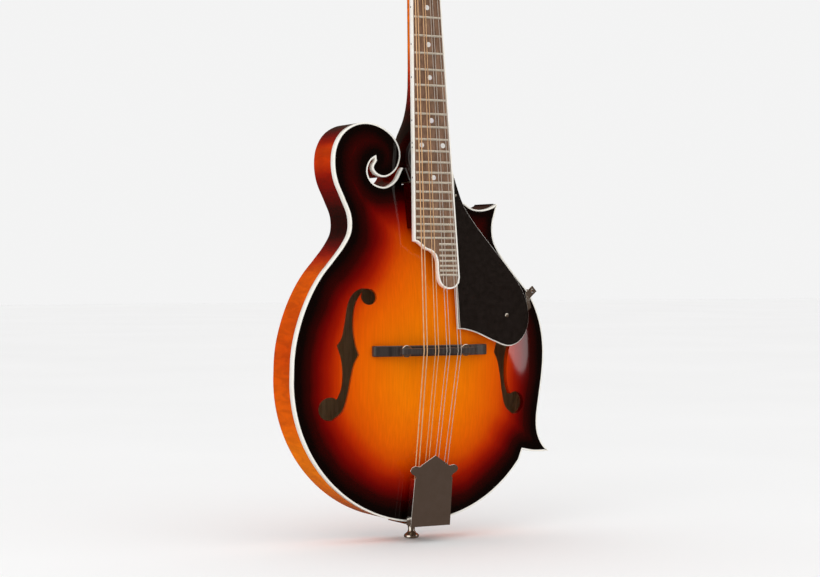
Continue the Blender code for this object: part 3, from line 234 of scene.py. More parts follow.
# Body outline, in millimetres. Each run is smooth and starts where the last one ended.
SLOT_RUN = [
    (-19.3, 336.2), (-22.5, 330.3), (-26.4, 323.1), (-31.3, 318.8), (-36.9, 316.3), (-42.7, 316.5),
    (-49.3, 319.3), (-53.4, 324.2), (-55.0, 330.0), (-53.6, 336.0), (-50.8, 340.0), (-47.6, 342.0),
]
SCROLL_RUN = [
    (-47.6, 342.0), (-47.2, 339.6), (-49.4, 336.4), (-50.3, 332.6), (-47.5, 328.0), (-42.0, 325.2),
    (-36.8, 325.0), (-30.3, 328.0), (-25.4, 333.2), (-22.6, 340.0), (-22.0, 346.0), (-23.5, 352.5),
    (-27.5, 359.3), (-33.8, 365.3), (-43.0, 370.2), (-55.0, 372.8), (-68.0, 370.6), (-79.5, 363.0),
    (-86.6, 350.5), (-88.4, 336.0), (-86.0, 321.0), (-78.6, 304.5), (-72.6, 290.0), (-72.6, 276.0),
    (-79.0, 264.0), (-89.5, 251.0), (-100.5, 238.0), (-110.5, 222.0), (-119.5, 201.5), (-125.6, 180.0),
    (-127.8, 164.5), (-128.4, 149.5),
]
BASS_BOUT_DEGREES = (178.0, 270.0)
TREBLE_BOUT_DEGREES = (270.0, 323.0)
POINT_UNDERSIDE_RUN = [(106.0, 76.8), (118.0, 74.6), (134.5, 74.4)]
WAIST_RUN = [
    (134.5, 74.4), (127.6, 82.0), (123.2, 91.5), (121.9, 103.5), (124.3, 123.0), (127.4, 143.0),
    (129.1, 163.0), (128.0, 182.0), (122.5, 203.0), (113.0, 221.0), (97.5, 238.5), (82.0, 257.0),
    (75.2, 269.5), (73.9, 283.0), (79.0, 303.0),
]
SHOULDER_RUN = [
    (79.0, 303.0), (70.5, 299.0), (60.2, 297.2), (51.0, 298.6), (42.0, 304.0), (30.0, 313.0), (21.0, 320.5),
]
NECK_POCKET = [(21.0, 320.5), (-19.3, 320.5)]
BINDING_NECK_GAP = 2.6 * MM

# One f-hole, on the treble side, in millimetres.
UPPER_EYE = (58.8, 218.9, 7.1)
LOWER_EYE = (94.6, 120.8, 10.3)
UPPER_EYE_DEGREES = (36, -270)
LOWER_EYE_DEGREES = (124, -106)
F_HOLE_SPACING = 3.0 * MM
F_OUTER_TOP_RUN = [
    (58.8, 226.0), (65.5, 226.2), (73.0, 221.6), (78.0, 213.0), (81.6, 196.0), (85.0, 182.0), (88.8, 176.3),
]
F_OUTER_LOW_RUN = [(88.8, 176.3), (85.2, 164.5), (84.0, 151.0), (85.2, 138.0), (88.8, 129.3)]
F_INNER_LOW_RUN = [(91.5, 111.0), (83.4, 117.5), (78.6, 132.0), (76.0, 146.5), (72.8, 160.0), (68.7, 168.0)]
F_INNER_TOP_RUN = [(68.7, 168.0), (71.6, 177.0), (73.6, 190.0), (73.0, 203.0), (70.4, 214.0), (64.8, 223.0)]

# End of the fingerboard, from the bass corner to the treble edge: across, distance from the nut.
BOARD_END_RUN = [
    (-18.2, -257.3), (-14.0, -260.5), (-10.0, -263.6), (-5.5, -265.0), (-1.5, -268.2), (0.5, -274.0),
    (0.6, -284.0), (2.0, -291.7), (5.2, -296.4), (10.8, -298.8), (17.6, -297.6), (21.8, -293.6),
]
BOARD_BASS_CORNER = -256.2
BOARD_TREBLE_CORNER = -288.6

# Back of the neck: height z and depth behind the fingerboard.
NECK_STATIONS = [
    (534.0, 14.0), (528.4, 14.5), (523.5, 14.6), (485.0, 15.4), (440.0, 16.4), (417.0, 17.2),
    (404.0, 19.0), (395.0, 21.3), (386.0, 25.6), (377.0, 31.5), (369.0, 40.0), (362.0, 48.0),
    (355.0, 51.8), (343.0, 53.0), (320.8, 54.0),
]

HEAD_OUTLINE = [
    (12.8, 2.0), (14.6, 12.0), (21.0, 21.0), (26.0, 30.0), (27.0, 45.0), (26.2, 70.0), (27.4, 95.0),
    (31.5, 116.0), (34.0, 132.0), (31.0, 143.0), (22.0, 147.5), (11.0, 147.0), (0.0, 151.0),
]

# Outer edge of the pickguard, from its lower corner by the strings to its upper end by the neck.
PICKGUARD_RUN = [
    (25.0, 189.6), (31.5, 189.3), (44.0, 186.0), (62.0, 178.4), (77.0, 173.6), (88.0, 176.6),
    (96.4, 186.0), (99.6, 199.0), (97.6, 214.5), (90.0, 230.0), (75.2, 248.9), (59.8, 266.4),
    (45.2, 283.5), (34.2, 298.9), (28.2, 313.5), (22.6, 331.0),
]
PICKGUARD_NECK_EDGE = (23.6, 235.0)
PICKGUARD_Z = 331.0 * MM
PICKGUARD_H = 16.5 * MM
PICKGUARD_THICKNESS = 2.0 * MM
PICKGUARD_SLOPE = math.radians(2.2)

# Where the solid blocks take over from the bent ribs, in millimetres.
LOWER_POINT_BLOCK = ((102.6, 67.7), (123.2, 91.5))
UPPER_POINT_BLOCK = ((76.0, 292.0), (66.0, 298.0))


# ---- Curves and surfaces, as in the CAD ----

def smooth_run(points, spacing):
    """A curve through the points, with its ends left sharp (centripetal Catmull-Rom)."""
    knots = in_mm(points)
    knots = [2 * knots[0] - knots[1], *knots, 2 * knots[-1] - knots[-2]]
    run = []
    for a, b, c, d in zip(knots, knots[1:], knots[2:], knots[3:]):
        steps = max(1, round((c - b).length / spacing))
        t1 = (b - a).length ** 0.5
        t2 = t1 + (c - b).length ** 0.5
        t3 = t2 + (d - c).length ** 0.5
        for step in range(steps):
            t = t1 + (t2 - t1) * step / steps
            ab = a.lerp(b, t / t1)
            bc = b.lerp(c, (t - t1) / (t2 - t1))
            cd = c.lerp(d, (t - t2) / (t3 - t2))
            abc = ab.lerp(bc, t / t2)
            bcd = bc.lerp(cd, (t - t1) / (t3 - t1))
            run.append(abc.lerp(bcd, (t - t1) / (t2 - t1)))
    run.append(knots[-2])
    return run


def arc(centre, radius, start, end, spacing):
    """Points along an arc, in degrees from +across."""
    length = abs(math.radians(end - start)) * radius
    steps = max(2, round(length / spacing))
    run = []
    for step in range(steps + 1):
        angle = math.radians(start + (end - start) * step / steps)
        run.append(Vector((centre[0] + radius * math.cos(angle), centre[1] + radius * math.sin(angle))))
    return run


def chain(*runs):
    """Runs laid end to end, each shared point kept once."""
    path = []
    for run in runs:
        for point in run:
            if not path or (point - path[-1]).length > 0.05 * MM:
                path.append(point)
    return path


def mirrored(run):
    """The run's points on the other side of the middle line, in reverse order."""
    return [Vector((-point.x, point.y)) for point in reversed(run)]


def normals(path, closed):
    """Unit vectors to the left of the path and the mitre length at each point."""
    found = []
    count = len(path)
    for index, point in enumerate(path):
        before = path[index - 1] if (closed or index) else None
        after = path[(index + 1) % count] if (closed or index < count - 1) else None
        sides = []
        if before is not None:
            sides.append((point - before).normalized())
        if after is not None:
            sides.append((after - point).normalized())
        left = [Vector((-side.y, side.x)) for side in sides]
        middle = sum(left, Vector((0.0, 0.0))).normalized()
        found.append((middle, min(MITRE_LIMIT, 1.0 / max(0.01, middle.dot(left[0])))))
    return found


def inset(path, distance, closed=True):
    """The path moved to its left, with the points that would cross over left out."""
    moved = [point + side * (distance * mitre) for point, (side, mitre) in zip(path, normals(path, closed))]
    clear = distances(np.array([tuple(point) for point in moved]), path, closed) > abs(distance) * 0.97
    return [point for point, keep in zip(moved, clear) if keep]


def half_width(z):
    """Half the body's width at a height, taken as the same on both sides."""
    above = z - BOUT_CENTRE_Z
    if above <= BOUT_TOP_RISE:
        return math.sqrt(max(1e-9, BOUT_RADIUS**2 - above**2))
    start_z = BOUT_CENTRE_Z + BOUT_TOP_RISE
    start_width = math.sqrt(BOUT_RADIUS**2 - BOUT_TOP_RISE**2)
    share = min(1.0, (z - start_z) / (WAIST_Z - start_z))
    return WAIST_HALF_WIDTH + (start_width - WAIST_HALF_WIDTH) * (1 + math.cos(math.pi * share**1.1)) / 2


def arch(x, z):
    """Share of the full arch at a place on a plate: one in the middle, nothing at the edge."""
    end = ARCH_NECK_Z if z > ARCH_MIDDLE_Z else ARCH_TAIL_Z
    along = min(1.0, abs((z - ARCH_MIDDLE_Z) / (end - ARCH_MIDDLE_Z)))
    across = min(1.0, abs(x) / half_width(z))
    return (1 - along**2) ** 1.2 * (1 - across**2) ** 1.35


def top_h(x, z):
    return TOP_ARCH * arch(x, z)


def board_h(z):
    """Height of the fingerboard's playing face above the top's edge plane."""
    return NUT_H + (NUT_Z - z) * math.tan(NECK_ANGLE)


def board_half_width(along):
    """Half the fingerboard's width at a distance from the nut, which is negative towards the body."""
    length = fret_distance(LAST_FRET)
    return BOARD_NUT_HALF_WIDTH + (BOARD_END_HALF_WIDTH - BOARD_NUT_HALF_WIDTH) * (-along) / length


def board_bottom(z):
    return board_h(z) - BOARD_THICKNESS / math.cos(NECK_ANGLE) - 0.05 * MM


def fret_distance(number):
    return SCALE_LENGTH * (1 - 2 ** (-number / 12))


# ---- Mesh helpers ----

TEMPORARY = bpy.data.collections.new("temporary")
bpy.context.scene.collection.children.link(TEMPORARY)


def drawn_mesh(name, work):
    """The working mesh as mesh data; the working mesh is freed."""
    mesh = bpy.data.meshes.new(name)
    work.to_mesh(mesh)
    work.free()
    return mesh


def rough(name, mesh, frame_=None):
    """An object that is shaped in the temporary collection and baked later."""
    made = bpy.data.objects.new(name, mesh)
    TEMPORARY.objects.link(made)
    if frame_ is not None:
        made.matrix_world = frame_
    return made


def modify(made, kind, **settings):
    step = made.modifiers.new(kind.lower(), kind)
    for key, value in settings.items():
        setattr(step, key, value)
    return made


def edge_round(made, width, segments=2, angle=35):
    return modify(
        made, "BEVEL", width=width, segments=segments, limit_method="ANGLE", angle_limit=math.radians(angle),
        use_clamp_overlap=True,
    )


def bake(made):
    """The object's final mesh in world coordinates; the object is removed."""
    bpy.context.view_layer.update()
    mesh = bpy.data.meshes.new_from_object(made.evaluated_get(bpy.context.evaluated_depsgraph_get()))
    mesh.transform(made.matrix_world)
    bpy.data.objects.remove(made)
    return mesh


def merged(meshes):
    work = bmesh.new()
    for mesh in meshes:
        work.from_mesh(mesh)
    return drawn_mesh("merged", work)


def piece(name, made, slot, surface, replaced=(), edge=None, angle=35, bevel=None, inner=None, body="body"):
    """Turns rough objects or meshes into one finished piece that rides on a CAD body.

    With inner, the faces that look that way along Y are bare wood.
    """
    parts = made if isinstance(made, list) else [made]
    meshes = [part if isinstance(part, bpy.types.Mesh) else bake(part) for part in parts]
    mesh = meshes[0] if len(meshes) == 1 else merged(meshes)
    mesh.name = name
    mesh.materials.clear()
    mesh.materials.append(surface)
    mesh.polygons.foreach_set("material_index", [0] * len(mesh.polygons))
    if inner is not None:
        mesh.materials.append(BARE)
        for face in mesh.polygons:
            face.material_index = int(face.normal.y * inner > 0.5)
    if edge is not None:
        layer = mesh.attributes.new("edge", "FLOAT", "POINT")
        co = np.array([vert.co for vert in mesh.vertices]).reshape(-1, 3)
        layer.data.foreach_set("value", edge(co).astype(np.float32))
    mesh.shade_smooth()
    mesh.set_sharp_from_angle(angle=math.radians(angle))
    obj = bpy.data.objects.new(name, mesh)
    bpy.context.scene.collection.objects.link(obj)
    if bevel:
        edge_round(obj, bevel)
    if body is not None:
        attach(obj, body)
    if replaced:
        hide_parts(*replaced)
    return obj


def place(frame_, across, along, out):
    return frame_ @ Matrix.Translation((across, along, out))


def flat(name, outline, low, high, frame_=FACE, holes=()):
    """A flat piece: a filled outline between two heights of its frame."""
    curve = bpy.data.curves.new(name, "CURVE")
    curve.dimensions = "2D"
    curve.fill_mode = "BOTH"
    curve.extrude = (high - low) / 2
    for loop in (outline, *holes):
        spline = curve.splines.new("POLY")
        spline.points.add(len(loop) - 1)
        spline.use_cyclic_u = True
        for point, (across, along) in zip(spline.points, loop):
            point.co = (across, along, 0.0, 1.0)
    work = bmesh.new()
    work.from_mesh(bake(rough(name, curve)))
    bmesh.ops.remove_doubles(work, verts=work.verts, dist=1e-6)
    bmesh.ops.dissolve_limit(work, angle_limit=0.001, verts=work.verts, edges=work.edges)
    bmesh.ops.recalc_face_normals(work, faces=work.faces)
    return rough(name, drawn_mesh(name, work), place(frame_, 0, 0, (low + high) / 2))


def strip(name, path, low, high, thickness, frame_=FACE, rows=1):
    """A wall standing on a path, thickened to the left of the path."""
    work = bmesh.new()
    lines = []
    for row in range(rows + 1):
        level = low + (high - low) * row / rows
        lines.append([work.verts.new((across, along, level)) for across, along in path])
    for under, over in zip(lines, lines[1:]):
        for index in range(len(path) - 1):
            work.faces.new((under[index + 1], under[index], over[index], over[index + 1]))
    made = rough(name, drawn_mesh(name, work), frame_)
    return modify(made, "SOLIDIFY", thickness=thickness, offset=1.0, use_even_offset=True)


def block(name, size, centre, frame_=FACE):
    work = bmesh.new()
    bmesh.ops.create_cube(work, size=1.0)
    bmesh.ops.scale(work, verts=work.verts, vec=size)
    return rough(name, drawn_mesh(name, work), place(frame_, *centre))


def millimetres(profile):
    """(radius, height) pairs given in millimetres."""
    return [(radius * MM, height * MM) for radius, height in profile]


def turned(name, profile, frame_, steps=32, ring=False):
    """A turned piece: (radius, height) pairs from the top down, spun about the frame's out direction."""
    work = bmesh.new()
    loops = []
    for radius, height in profile:
        if radius < 1e-7:
            loops.append([work.verts.new((0.0, 0.0, height))])
            continue
        angles = [2 * math.pi * step / steps for step in range(steps)]
        loops.append([work.verts.new((radius * math.cos(a), radius * math.sin(a), height)) for a in angles])
    pairs = list(zip(loops, loops[1:]))
    if ring:
        pairs.append((loops[-1], loops[0]))
    for upper, lower in pairs:
        for step in range(steps):
            after = (step + 1) % steps
            corners = []
            for loop, index in ((upper, step), (lower, step), (lower, after), (upper, after)):
                corner = loop[index % len(loop)]
                if corner not in corners:
                    corners.append(corner)
            if len(corners) > 2:
                work.faces.new(corners)
    bmesh.ops.recalc_face_normals(work, faces=work.faces)
    return rough(name, drawn_mesh(name, work), frame_)


def grid_surface(name, rows, frame_=None, caps=True):
    """A surface through rings of points, each ring closed, with end caps."""
    work = bmesh.new()
    loops = [[work.verts.new(point) for point in row] for row in rows]
    for one, two in zip(loops, loops[1:]):
        for index in range(len(one)):
            after = (index + 1) % len(one)
            work.faces.new((one[index], one[after], two[after], two[index]))
    if caps:
        work.faces.new(loops[0][::-1])
        work.faces.new(loops[-1])
    bmesh.ops.recalc_face_normals(work, faces=work.faces)
    return rough(name, drawn_mesh(name, work), frame_)


def tube(name, points, radius, sides=10):
    """A round wire through world points."""
    points = [Vector(point) for point in points]
    rows = []
    side = None
    for index, point in enumerate(points):
        before = points[max(0, index - 1)]
        after = points[min(len(points) - 1, index + 1)]
        along = (after - before).normalized()
        if side is None:
            side = along.orthogonal().normalized()
        side = (side - along * side.dot(along)).normalized()
        up = along.cross(side)
        angles = [2 * math.pi * step / sides for step in range(sides)]
        rows.append([point + (side * math.cos(a) + up * math.sin(a)) * radius for a in angles])
    return grid_surface(name, rows)


def threaded(name, radius, depth, pitch, low, high, frame_, sides=20, per_turn=8):
    """A rod with a screw thread along its frame's out direction."""
    count = max(2, round((high - low) / pitch * per_turn))
    rows = []
    for row in range(count + 1):
        level = low + (high - low) * row / count
        ring = []
        for step in range(sides):
            angle = 2 * math.pi * step / sides
            wave = 0.5 + 0.5 * math.cos(2 * math.pi * level / pitch - angle)
            edge = min(1.0, (level - low) / pitch * 2, (high - level) / pitch * 2)
            reach = radius - depth + depth * wave * edge
            ring.append((reach * math.cos(angle), reach * math.sin(angle), level))
        rows.append(ring)
    return grid_surface(name, rows, frame_)


def rounded_form(name, size, frame_, power=0.55, rings=14, sides=28):
    """A rounded oblong, fuller than an ellipsoid."""
    def soft(value):
        return math.copysign(abs(value) ** power, value)

    rows = []
    for ring in range(1, rings):
        tilt = math.pi * ring / rings - math.pi / 2
        row = []
        for step in range(sides):
            angle = 2 * math.pi * step / sides
            row.append((
                size[0] / 2 * soft(math.cos(tilt)) * soft(math.cos(angle)),
                size[1] / 2 * soft(math.cos(tilt)) * soft(math.sin(angle)),
                size[2] / 2 * soft(math.sin(tilt)),
            ))
        rows.append(row)
    return grid_surface(name, rows, frame_)


def screw_head(radius, frame_):
    """A small round-headed screw with a dimple pressed in for the driver."""
    dimple = [(0.0, 0.25), (0.12, 0.25), (0.2, 0.62)]
    shape = [*dimple, (0.5, 0.55), (0.8, 0.38), (0.97, 0.15), (1.0, 0.0), (0.0, 0.0)]
    return turned("screw", [(across * radius, out * radius) for across, out in shape], frame_, 20)


def distances(points, path, closed=True):
    """Distance of each of many points to a path."""
    line = np.array([tuple(point) for point in path])
    ends = np.roll(line, -1, axis=0) if closed else line[1:]
    starts = line if closed else line[:-1]
    best = np.full(len(points), 1.0)
    for start, end in zip(starts, ends):
        along = end - start
        length = max(1e-12, float(along @ along))
        share = np.clip(((points - start) @ along) / length, 0, 1)
        best = np.minimum(best, np.linalg.norm(points - start - share[:, None] * along, axis=1))
    return best


def inside_many(points, loop):
    """Whether each of many points is inside a closed loop."""
    line = np.array([tuple(point) for point in loop])
    crossings = np.zeros(len(points), int)
    for start, end in zip(line, np.roll(line, -1, axis=0)):
        spans = (start[1] > points[:, 1]) != (end[1] > points[:, 1])
        rise = end[1] - start[1]
        if abs(rise) < 1e-12:
            continue
        crossing = start[0] + (end[0] - start[0]) * (points[:, 1] - start[1]) / rise
        crossings += spans & (points[:, 0] < crossing)
    return crossings % 2 == 1


# ---- Materials ----

WAVE_BAND = 0.314  # the wave texture's scale for bands of one metre


def srgb(red, green, blue):
    """Linear colour from eight-bit display values."""
    return tuple((value / 255) ** 2.2 for value in (red, green, blue)) + (1.0,)


def shader_node(tree, kind, inputs, output, **settings):
    """Adds a node, gives each input a value or links it to another node's output, and gives its output."""
    made = tree.nodes.new("ShaderNode" + kind)
    for key, value in settings.items():
        setattr(made, key, value)
    for socket, value in inputs.items():
        if isinstance(value, bpy.types.NodeSocket):
            tree.links.new(value, made.inputs[socket])
        else:
            made.inputs[socket].default_value = value
    return made.outputs[output]


class Surface:
    """A Principled material whose colour, roughness and bump come from procedural nodes."""

    def __init__(self, name, **sockets):
        self.material = bpy.data.materials.new(name)
        self.material.use_nodes = True
        self.tree = self.material.node_tree
        self.shader = self.tree.nodes["Principled BSDF"]
        for socket, value in sockets.items():
            self.shader.inputs[socket.replace("_", " ")].default_value = value
        self.place = self.node("TexCoord", {}, "Object")

    def node(self, kind, inputs, output, **settings):
        return shader_node(self.tree, kind, inputs, output, **settings)

    def drive(self, socket, source):
        self.tree.links.new(source, self.shader.inputs[socket])

    def noise(self, size, stretch=(1, 1, 1), detail=3.0, rough=0.5, distortion=0.0):
        """Noise with features of about size metres."""
        place = self.node("Mapping", {"Vector": self.place, "Scale": stretch}, "Vector")
        scale = {"Vector": place, "Scale": 1.0 / size}
        look = {"Detail": detail, "Roughness": rough, "Distortion": distortion}
        return self.node("TexNoise", {**scale, **look}, "Fac")

    def wave(self, size, direction, distortion=0.0, detail=2.0, detail_scale=1.0):
        """Bands of about size metres."""
        scale = {"Vector": self.place, "Scale": WAVE_BAND / size}
        look = {"Distortion": distortion, "Detail": detail, "Detail Scale": detail_scale}
        return self.node("TexWave", {**scale, **look}, "Fac", bands_direction=direction)

    def attribute(self, name):
        return self.node("Attribute", {}, "Fac", attribute_name=name)

    def ramp(self, source, stops):
        colour = self.node("ValToRGB", {"Fac": source}, "Color")
        elements = colour.node.color_ramp.elements
        while len(elements) < len(stops):
            elements.new(0.5)
        for element, (position, tone) in zip(elements, stops):
            element.position = position
            element.color = tone if isinstance(tone, tuple) else (tone, tone, tone, 1.0)
        return colour

    def maths(self, operation, one, two):
        return self.node("Math", {0: one, 1: two}, "Value", operation=operation)

    def mix(self, share, one, two, blend="MIX"):
        """Two colours mixed; the node's colour sockets are the ones at these places."""
        return self.node("Mix", {0: share, 6: one, 7: two}, 2, data_type="RGBA", blend_type=blend)

    def colour(self, source):
        self.drive("Base Color", source)

    def roughness(self, source, low, high):
        limits = {"Value": source, "To Min": low, "To Max": high}
        self.drive("Roughness", self.node("MapRange", limits, "Result"))

    def bump(self, source, depth, strength=1.0):
        relief = {"Height": source, "Distance": depth, "Strength": strength}
        self.drive("Normal", self.node("Bump", relief, "Normal"))


SUNBURST_STOPS = [
    (0.00, srgb(9, 2, 1)), (0.07, srgb(17, 2, 0)), (0.16, srgb(52, 0, 0)), (0.24, srgb(104, 4, 0)),
    (0.33, srgb(152, 27, 0)), (0.41, srgb(190, 52, 0)), (0.50, srgb(214, 80, 0)), (0.62, srgb(230, 97, 0)),
    (0.78, srgb(239, 111, 0)), (1.00, srgb(248, 126, 0)),
]


def sunburst(name, figure):
    """Stained wood under a clear gloss lacquer: the stain darkens towards the edge."""
    made = Surface(name, Coat_Weight=1.0, Coat_Roughness=0.035, Coat_IOR=1.45, Specular_IOR_Level=0.0)
    cloud = made.noise(0.05, detail=2.0)
    edge = made.maths("MULTIPLY", made.attribute("edge"), 10.0)
    shifted = made.maths("ADD", edge, made.maths("MULTIPLY", made.maths("SUBTRACT", cloud, 0.5), 0.10))
    stain = made.ramp(shifted, SUNBURST_STOPS)
    if figure == "spruce":
        grain = made.wave(1.1 * MM, "X", distortion=1.2, detail=2.0, detail_scale=0.02)
        fibre = made.noise(1.2 * MM, (1, 1, 0.03), detail=4.0)
        fibre_tone = made.ramp(fibre, [(0.3, 0.82), (0.7, 1.06)])
        lines = made.mix(0.5, made.ramp(grain, [(0.0, 0.80), (0.55, 1.0)]), fibre_tone)
    else:
        flame = made.noise(9.0 * MM, (0.35, 0.35, 1.5), detail=2.0, distortion=0.6)
        fibre = made.noise(1.0 * MM, (1, 1, 0.04), detail=3.0)
        fibre_tone = made.ramp(fibre, [(0.3, 0.85), (0.7, 1.05)])
        lines = made.mix(0.4, made.ramp(flame, [(0.35, 0.72), (0.65, 1.12)]), fibre_tone)
    made.colour(made.mix(1.0, stain, lines, "MULTIPLY"))
    made.roughness(fibre, 0.32, 0.48)
    made.bump(made.noise(14 * MM, detail=1.0), 0.12 * MM, 0.25)
    return made.material


def plain_wood(name, dark, light, pore=0.9, rough=(0.5, 0.7), size=1.0, depth=0.05, coat=0.0):
    made = Surface(name, Coat_Weight=coat, Coat_Roughness=0.12)
    grain = made.noise(4.5 * MM * size, (1, 1, 0.06), detail=5.0, rough=0.6, distortion=0.3)
    pores = made.noise(0.7 * MM * size, (1, 1, 0.05), detail=2.0)
    tone = made.ramp(grain, [(0.30, dark), (0.68, light)])
    made.colour(made.mix(1.0, tone, made.ramp(pores, [(0.36, pore), (0.55, 1.0)]), "MULTIPLY"))
    made.roughness(pores, rough[1], rough[0])
    made.bump(pores, depth * MM, 0.6)
    return made.material


def metal(name, colour, rough, tarnish, size=3.0, metallic=1.0):
    made = Surface(name, Metallic=metallic)
    cloud = made.noise(size * MM, detail=4.0, rough=0.6)
    fine = made.noise(0.35 * MM, detail=2.0)
    made.colour(made.ramp(cloud, [(0.30, tarnish), (0.65, colour)]))
    made.roughness(cloud, rough * 1.5, rough * 0.8)
    made.bump(fine, 0.01 * MM, 0.25)
    return made.material


def plastic(name, dark, light, rough, size=4.0, coat=0.0, scratch=0.15):
    made = Surface(name, Coat_Weight=coat, Coat_Roughness=0.05)
    cloud = made.noise(size * MM, detail=3.0)
    scuffs = made.noise(1.6 * MM, (1.0, 0.2, 0.12), detail=5.0)
    made.colour(made.ramp(cloud, [(0.32, dark), (0.68, light)]))
    made.roughness(scuffs, rough * (1 - scratch), rough * (1 + scratch * 3))
    made.bump(cloud, 0.04 * MM, 0.2)
    return made.material


def wound_wire(name, colour, tarnish, pitch):
    """Wire with a fine winding; the bump rings follow the string, and the colour is painted darker in the
    grooves between them as shade.
    """
    made = Surface(name, Metallic=0.3)
    rings = made.wave(pitch, "Z")
    cloud = made.noise(5 * MM, detail=3.0)
    tone = made.ramp(cloud, [(0.3, tarnish), (0.7, colour)])
    # The rings also darken the colour in the grooves between the windings: painted shade.
    made.colour(made.mix(1.0, tone, made.ramp(rings, [(0.0, 0.8), (0.5, 1.0)]), "MULTIPLY"))
    made.roughness(cloud, 0.42, 0.28)
    made.bump(rings, 0.08 * MM, 0.6)
    return made.material


def ivoroid_surface(name, light, dark):
    made = Surface(name, Coat_Weight=0.8, Coat_Roughness=0.05)
    grain = made.wave(0.55 * MM, "Z", distortion=2.0, detail=2.0, detail_scale=0.5)
    cloud = made.noise(7 * MM, detail=3.0)
    tone = made.ramp(cloud, [(0.3, dark), (0.6, light)])
    made.colour(made.mix(0.25, tone, made.ramp(grain, [(0.0, dark), (0.7, light)])))
    made.roughness(cloud, 0.26, 0.36)
    made.bump(cloud, 0.03 * MM, 0.2)
    return made.material


def pearl_surface(name):
    made = Surface(name, Coat_Weight=1.0, Coat_Roughness=0.04)
    swirl = made.noise(2.2 * MM, (1, 1, 0.6), detail=4.0, distortion=1.6)
    made.colour(made.ramp(swirl, [
        (0.25, srgb(196, 204, 196)), (0.45, srgb(238, 236, 226)), (0.6, srgb(216, 208, 214)),
        (0.8, srgb(248, 247, 240)),
    ]))
    made.roughness(swirl, 0.18, 0.3)
    made.bump(swirl, 0.03 * MM, 0.15)
    return made.material


SPRUCE = sunburst("top_lacquer", "spruce")
MAPLE = sunburst("maple_lacquer", "maple")
BARE = plain_wood("bare_wood", srgb(178, 138, 92), srgb(216, 180, 132), 0.85, (0.6, 0.8))
ROSEWOOD = plain_wood("rosewood", srgb(100, 68, 48), srgb(156, 120, 94), 0.6, (0.42, 0.62), 0.8, 0.08)
EBONY = plain_wood("ebony", srgb(46, 39, 37), srgb(74, 64, 60), 0.7, (0.32, 0.45), 0.8, 0.04, 0.25)
HEAD_LACQUER = plain_wood(
    "head_lacquer", srgb(12, 10, 10), srgb(22, 18, 17), rough=(0.25, 0.35), depth=0.02, coat=1.0,
)
IVOROID = ivoroid_surface("ivoroid", srgb(255, 253, 246), srgb(250, 243, 228))
BONE = ivoroid_surface("bone", srgb(244, 236, 212), srgb(226, 212, 180))
NICKEL = metal("nickel", srgb(242, 237, 228), 0.16, srgb(222, 214, 202))
AGED_NICKEL = metal("aged_nickel", srgb(214, 202, 186), 0.2, srgb(184, 170, 152))
COVER_METAL = metal("cover_metal", srgb(249, 247, 245), 0.13, srgb(240, 236, 230), 9.0)
FRET_METAL = metal("fret_metal", srgb(232, 222, 204), 0.25, srgb(208, 196, 176), metallic=0.4)
STEEL = metal("plain_string", srgb(232, 222, 210), 0.28, srgb(206, 194, 180), 6.0, 0.45)
BRONZE = wound_wire("wound_string", srgb(252, 206, 156), srgb(230, 178, 128), 0.30 * MM)
BRASS = metal("gear_brass", srgb(196, 160, 96), 0.26, srgb(160, 124, 70))
BLACK = plastic("black_plastic", srgb(24, 20, 18), srgb(34, 29, 27), 0.16, coat=0.3)
WHITE_PLY = plastic("white_ply", srgb(232, 226, 214), srgb(246, 243, 236), 0.3)
PURFLING = plastic("purfling", srgb(24, 18, 16), srgb(44, 36, 32), 0.4)
PEARL = pearl_surface("pearl")


# ---- Body ----

BODY_SPACING = 2.5 * MM
BOUT_SPACING = 3.0 * MM
RIB_LOW = -RIM_DEPTH + PLATE_THICKNESS + GAP
BLOCK_TOP = -BINDING_DEPTH + MM
SLOT_SIDE = smooth_run(SLOT_RUN, BODY_SPACING)
BASS_SIDE = chain(
    smooth_run(SCROLL_RUN, BODY_SPACING),
    arc((0, BOUT_CENTRE_Z), BOUT_RADIUS, *BASS_BOUT_DEGREES, BOUT_SPACING),
)
LOWER_TREBLE_SIDE = chain(
    arc((0, BOUT_CENTRE_Z), BOUT_RADIUS, *TREBLE_BOUT_DEGREES, BOUT_SPACING),
    smooth_run(POINT_UNDERSIDE_RUN, BODY_SPACING),
)
WAIST_SIDE = smooth_run(WAIST_RUN, BODY_SPACING)
SHOULDER_SIDE = smooth_run(SHOULDER_RUN, BODY_SPACING)
RIM_PATH = chain(SLOT_SIDE, BASS_SIDE, LOWER_TREBLE_SIDE, WAIST_SIDE, SHOULDER_SIDE)
BODY_OUTLINE = chain(RIM_PATH, in_mm(NECK_POCKET))


def f_hole(side):
    x, z, radius = (value * MM for value in UPPER_EYE)
    upper = arc((x, z), radius, *UPPER_EYE_DEGREES, 1.5 * MM)
    x, z, radius = (value * MM for value in LOWER_EYE)
    lower = arc((x, z), radius, *LOWER_EYE_DEGREES, 2 * MM)
    loop = chain(
        upper,
        smooth_run(F_OUTER_TOP_RUN, F_HOLE_SPACING),
        smooth_run(F_OUTER_LOW_RUN, F_HOLE_SPACING),
        lower,
        smooth_run(F_INNER_LOW_RUN, F_HOLE_SPACING),
        smooth_run(F_INNER_TOP_RUN, F_HOLE_SPACING),
    )[:-1]
    return [Vector((side * point.x, point.y)) for point in loop]


def edge_distance(co):
    """Distance in from the body's outline, for the stain."""
    return distances(co[:, (0, 2)], BODY_OUTLINE)


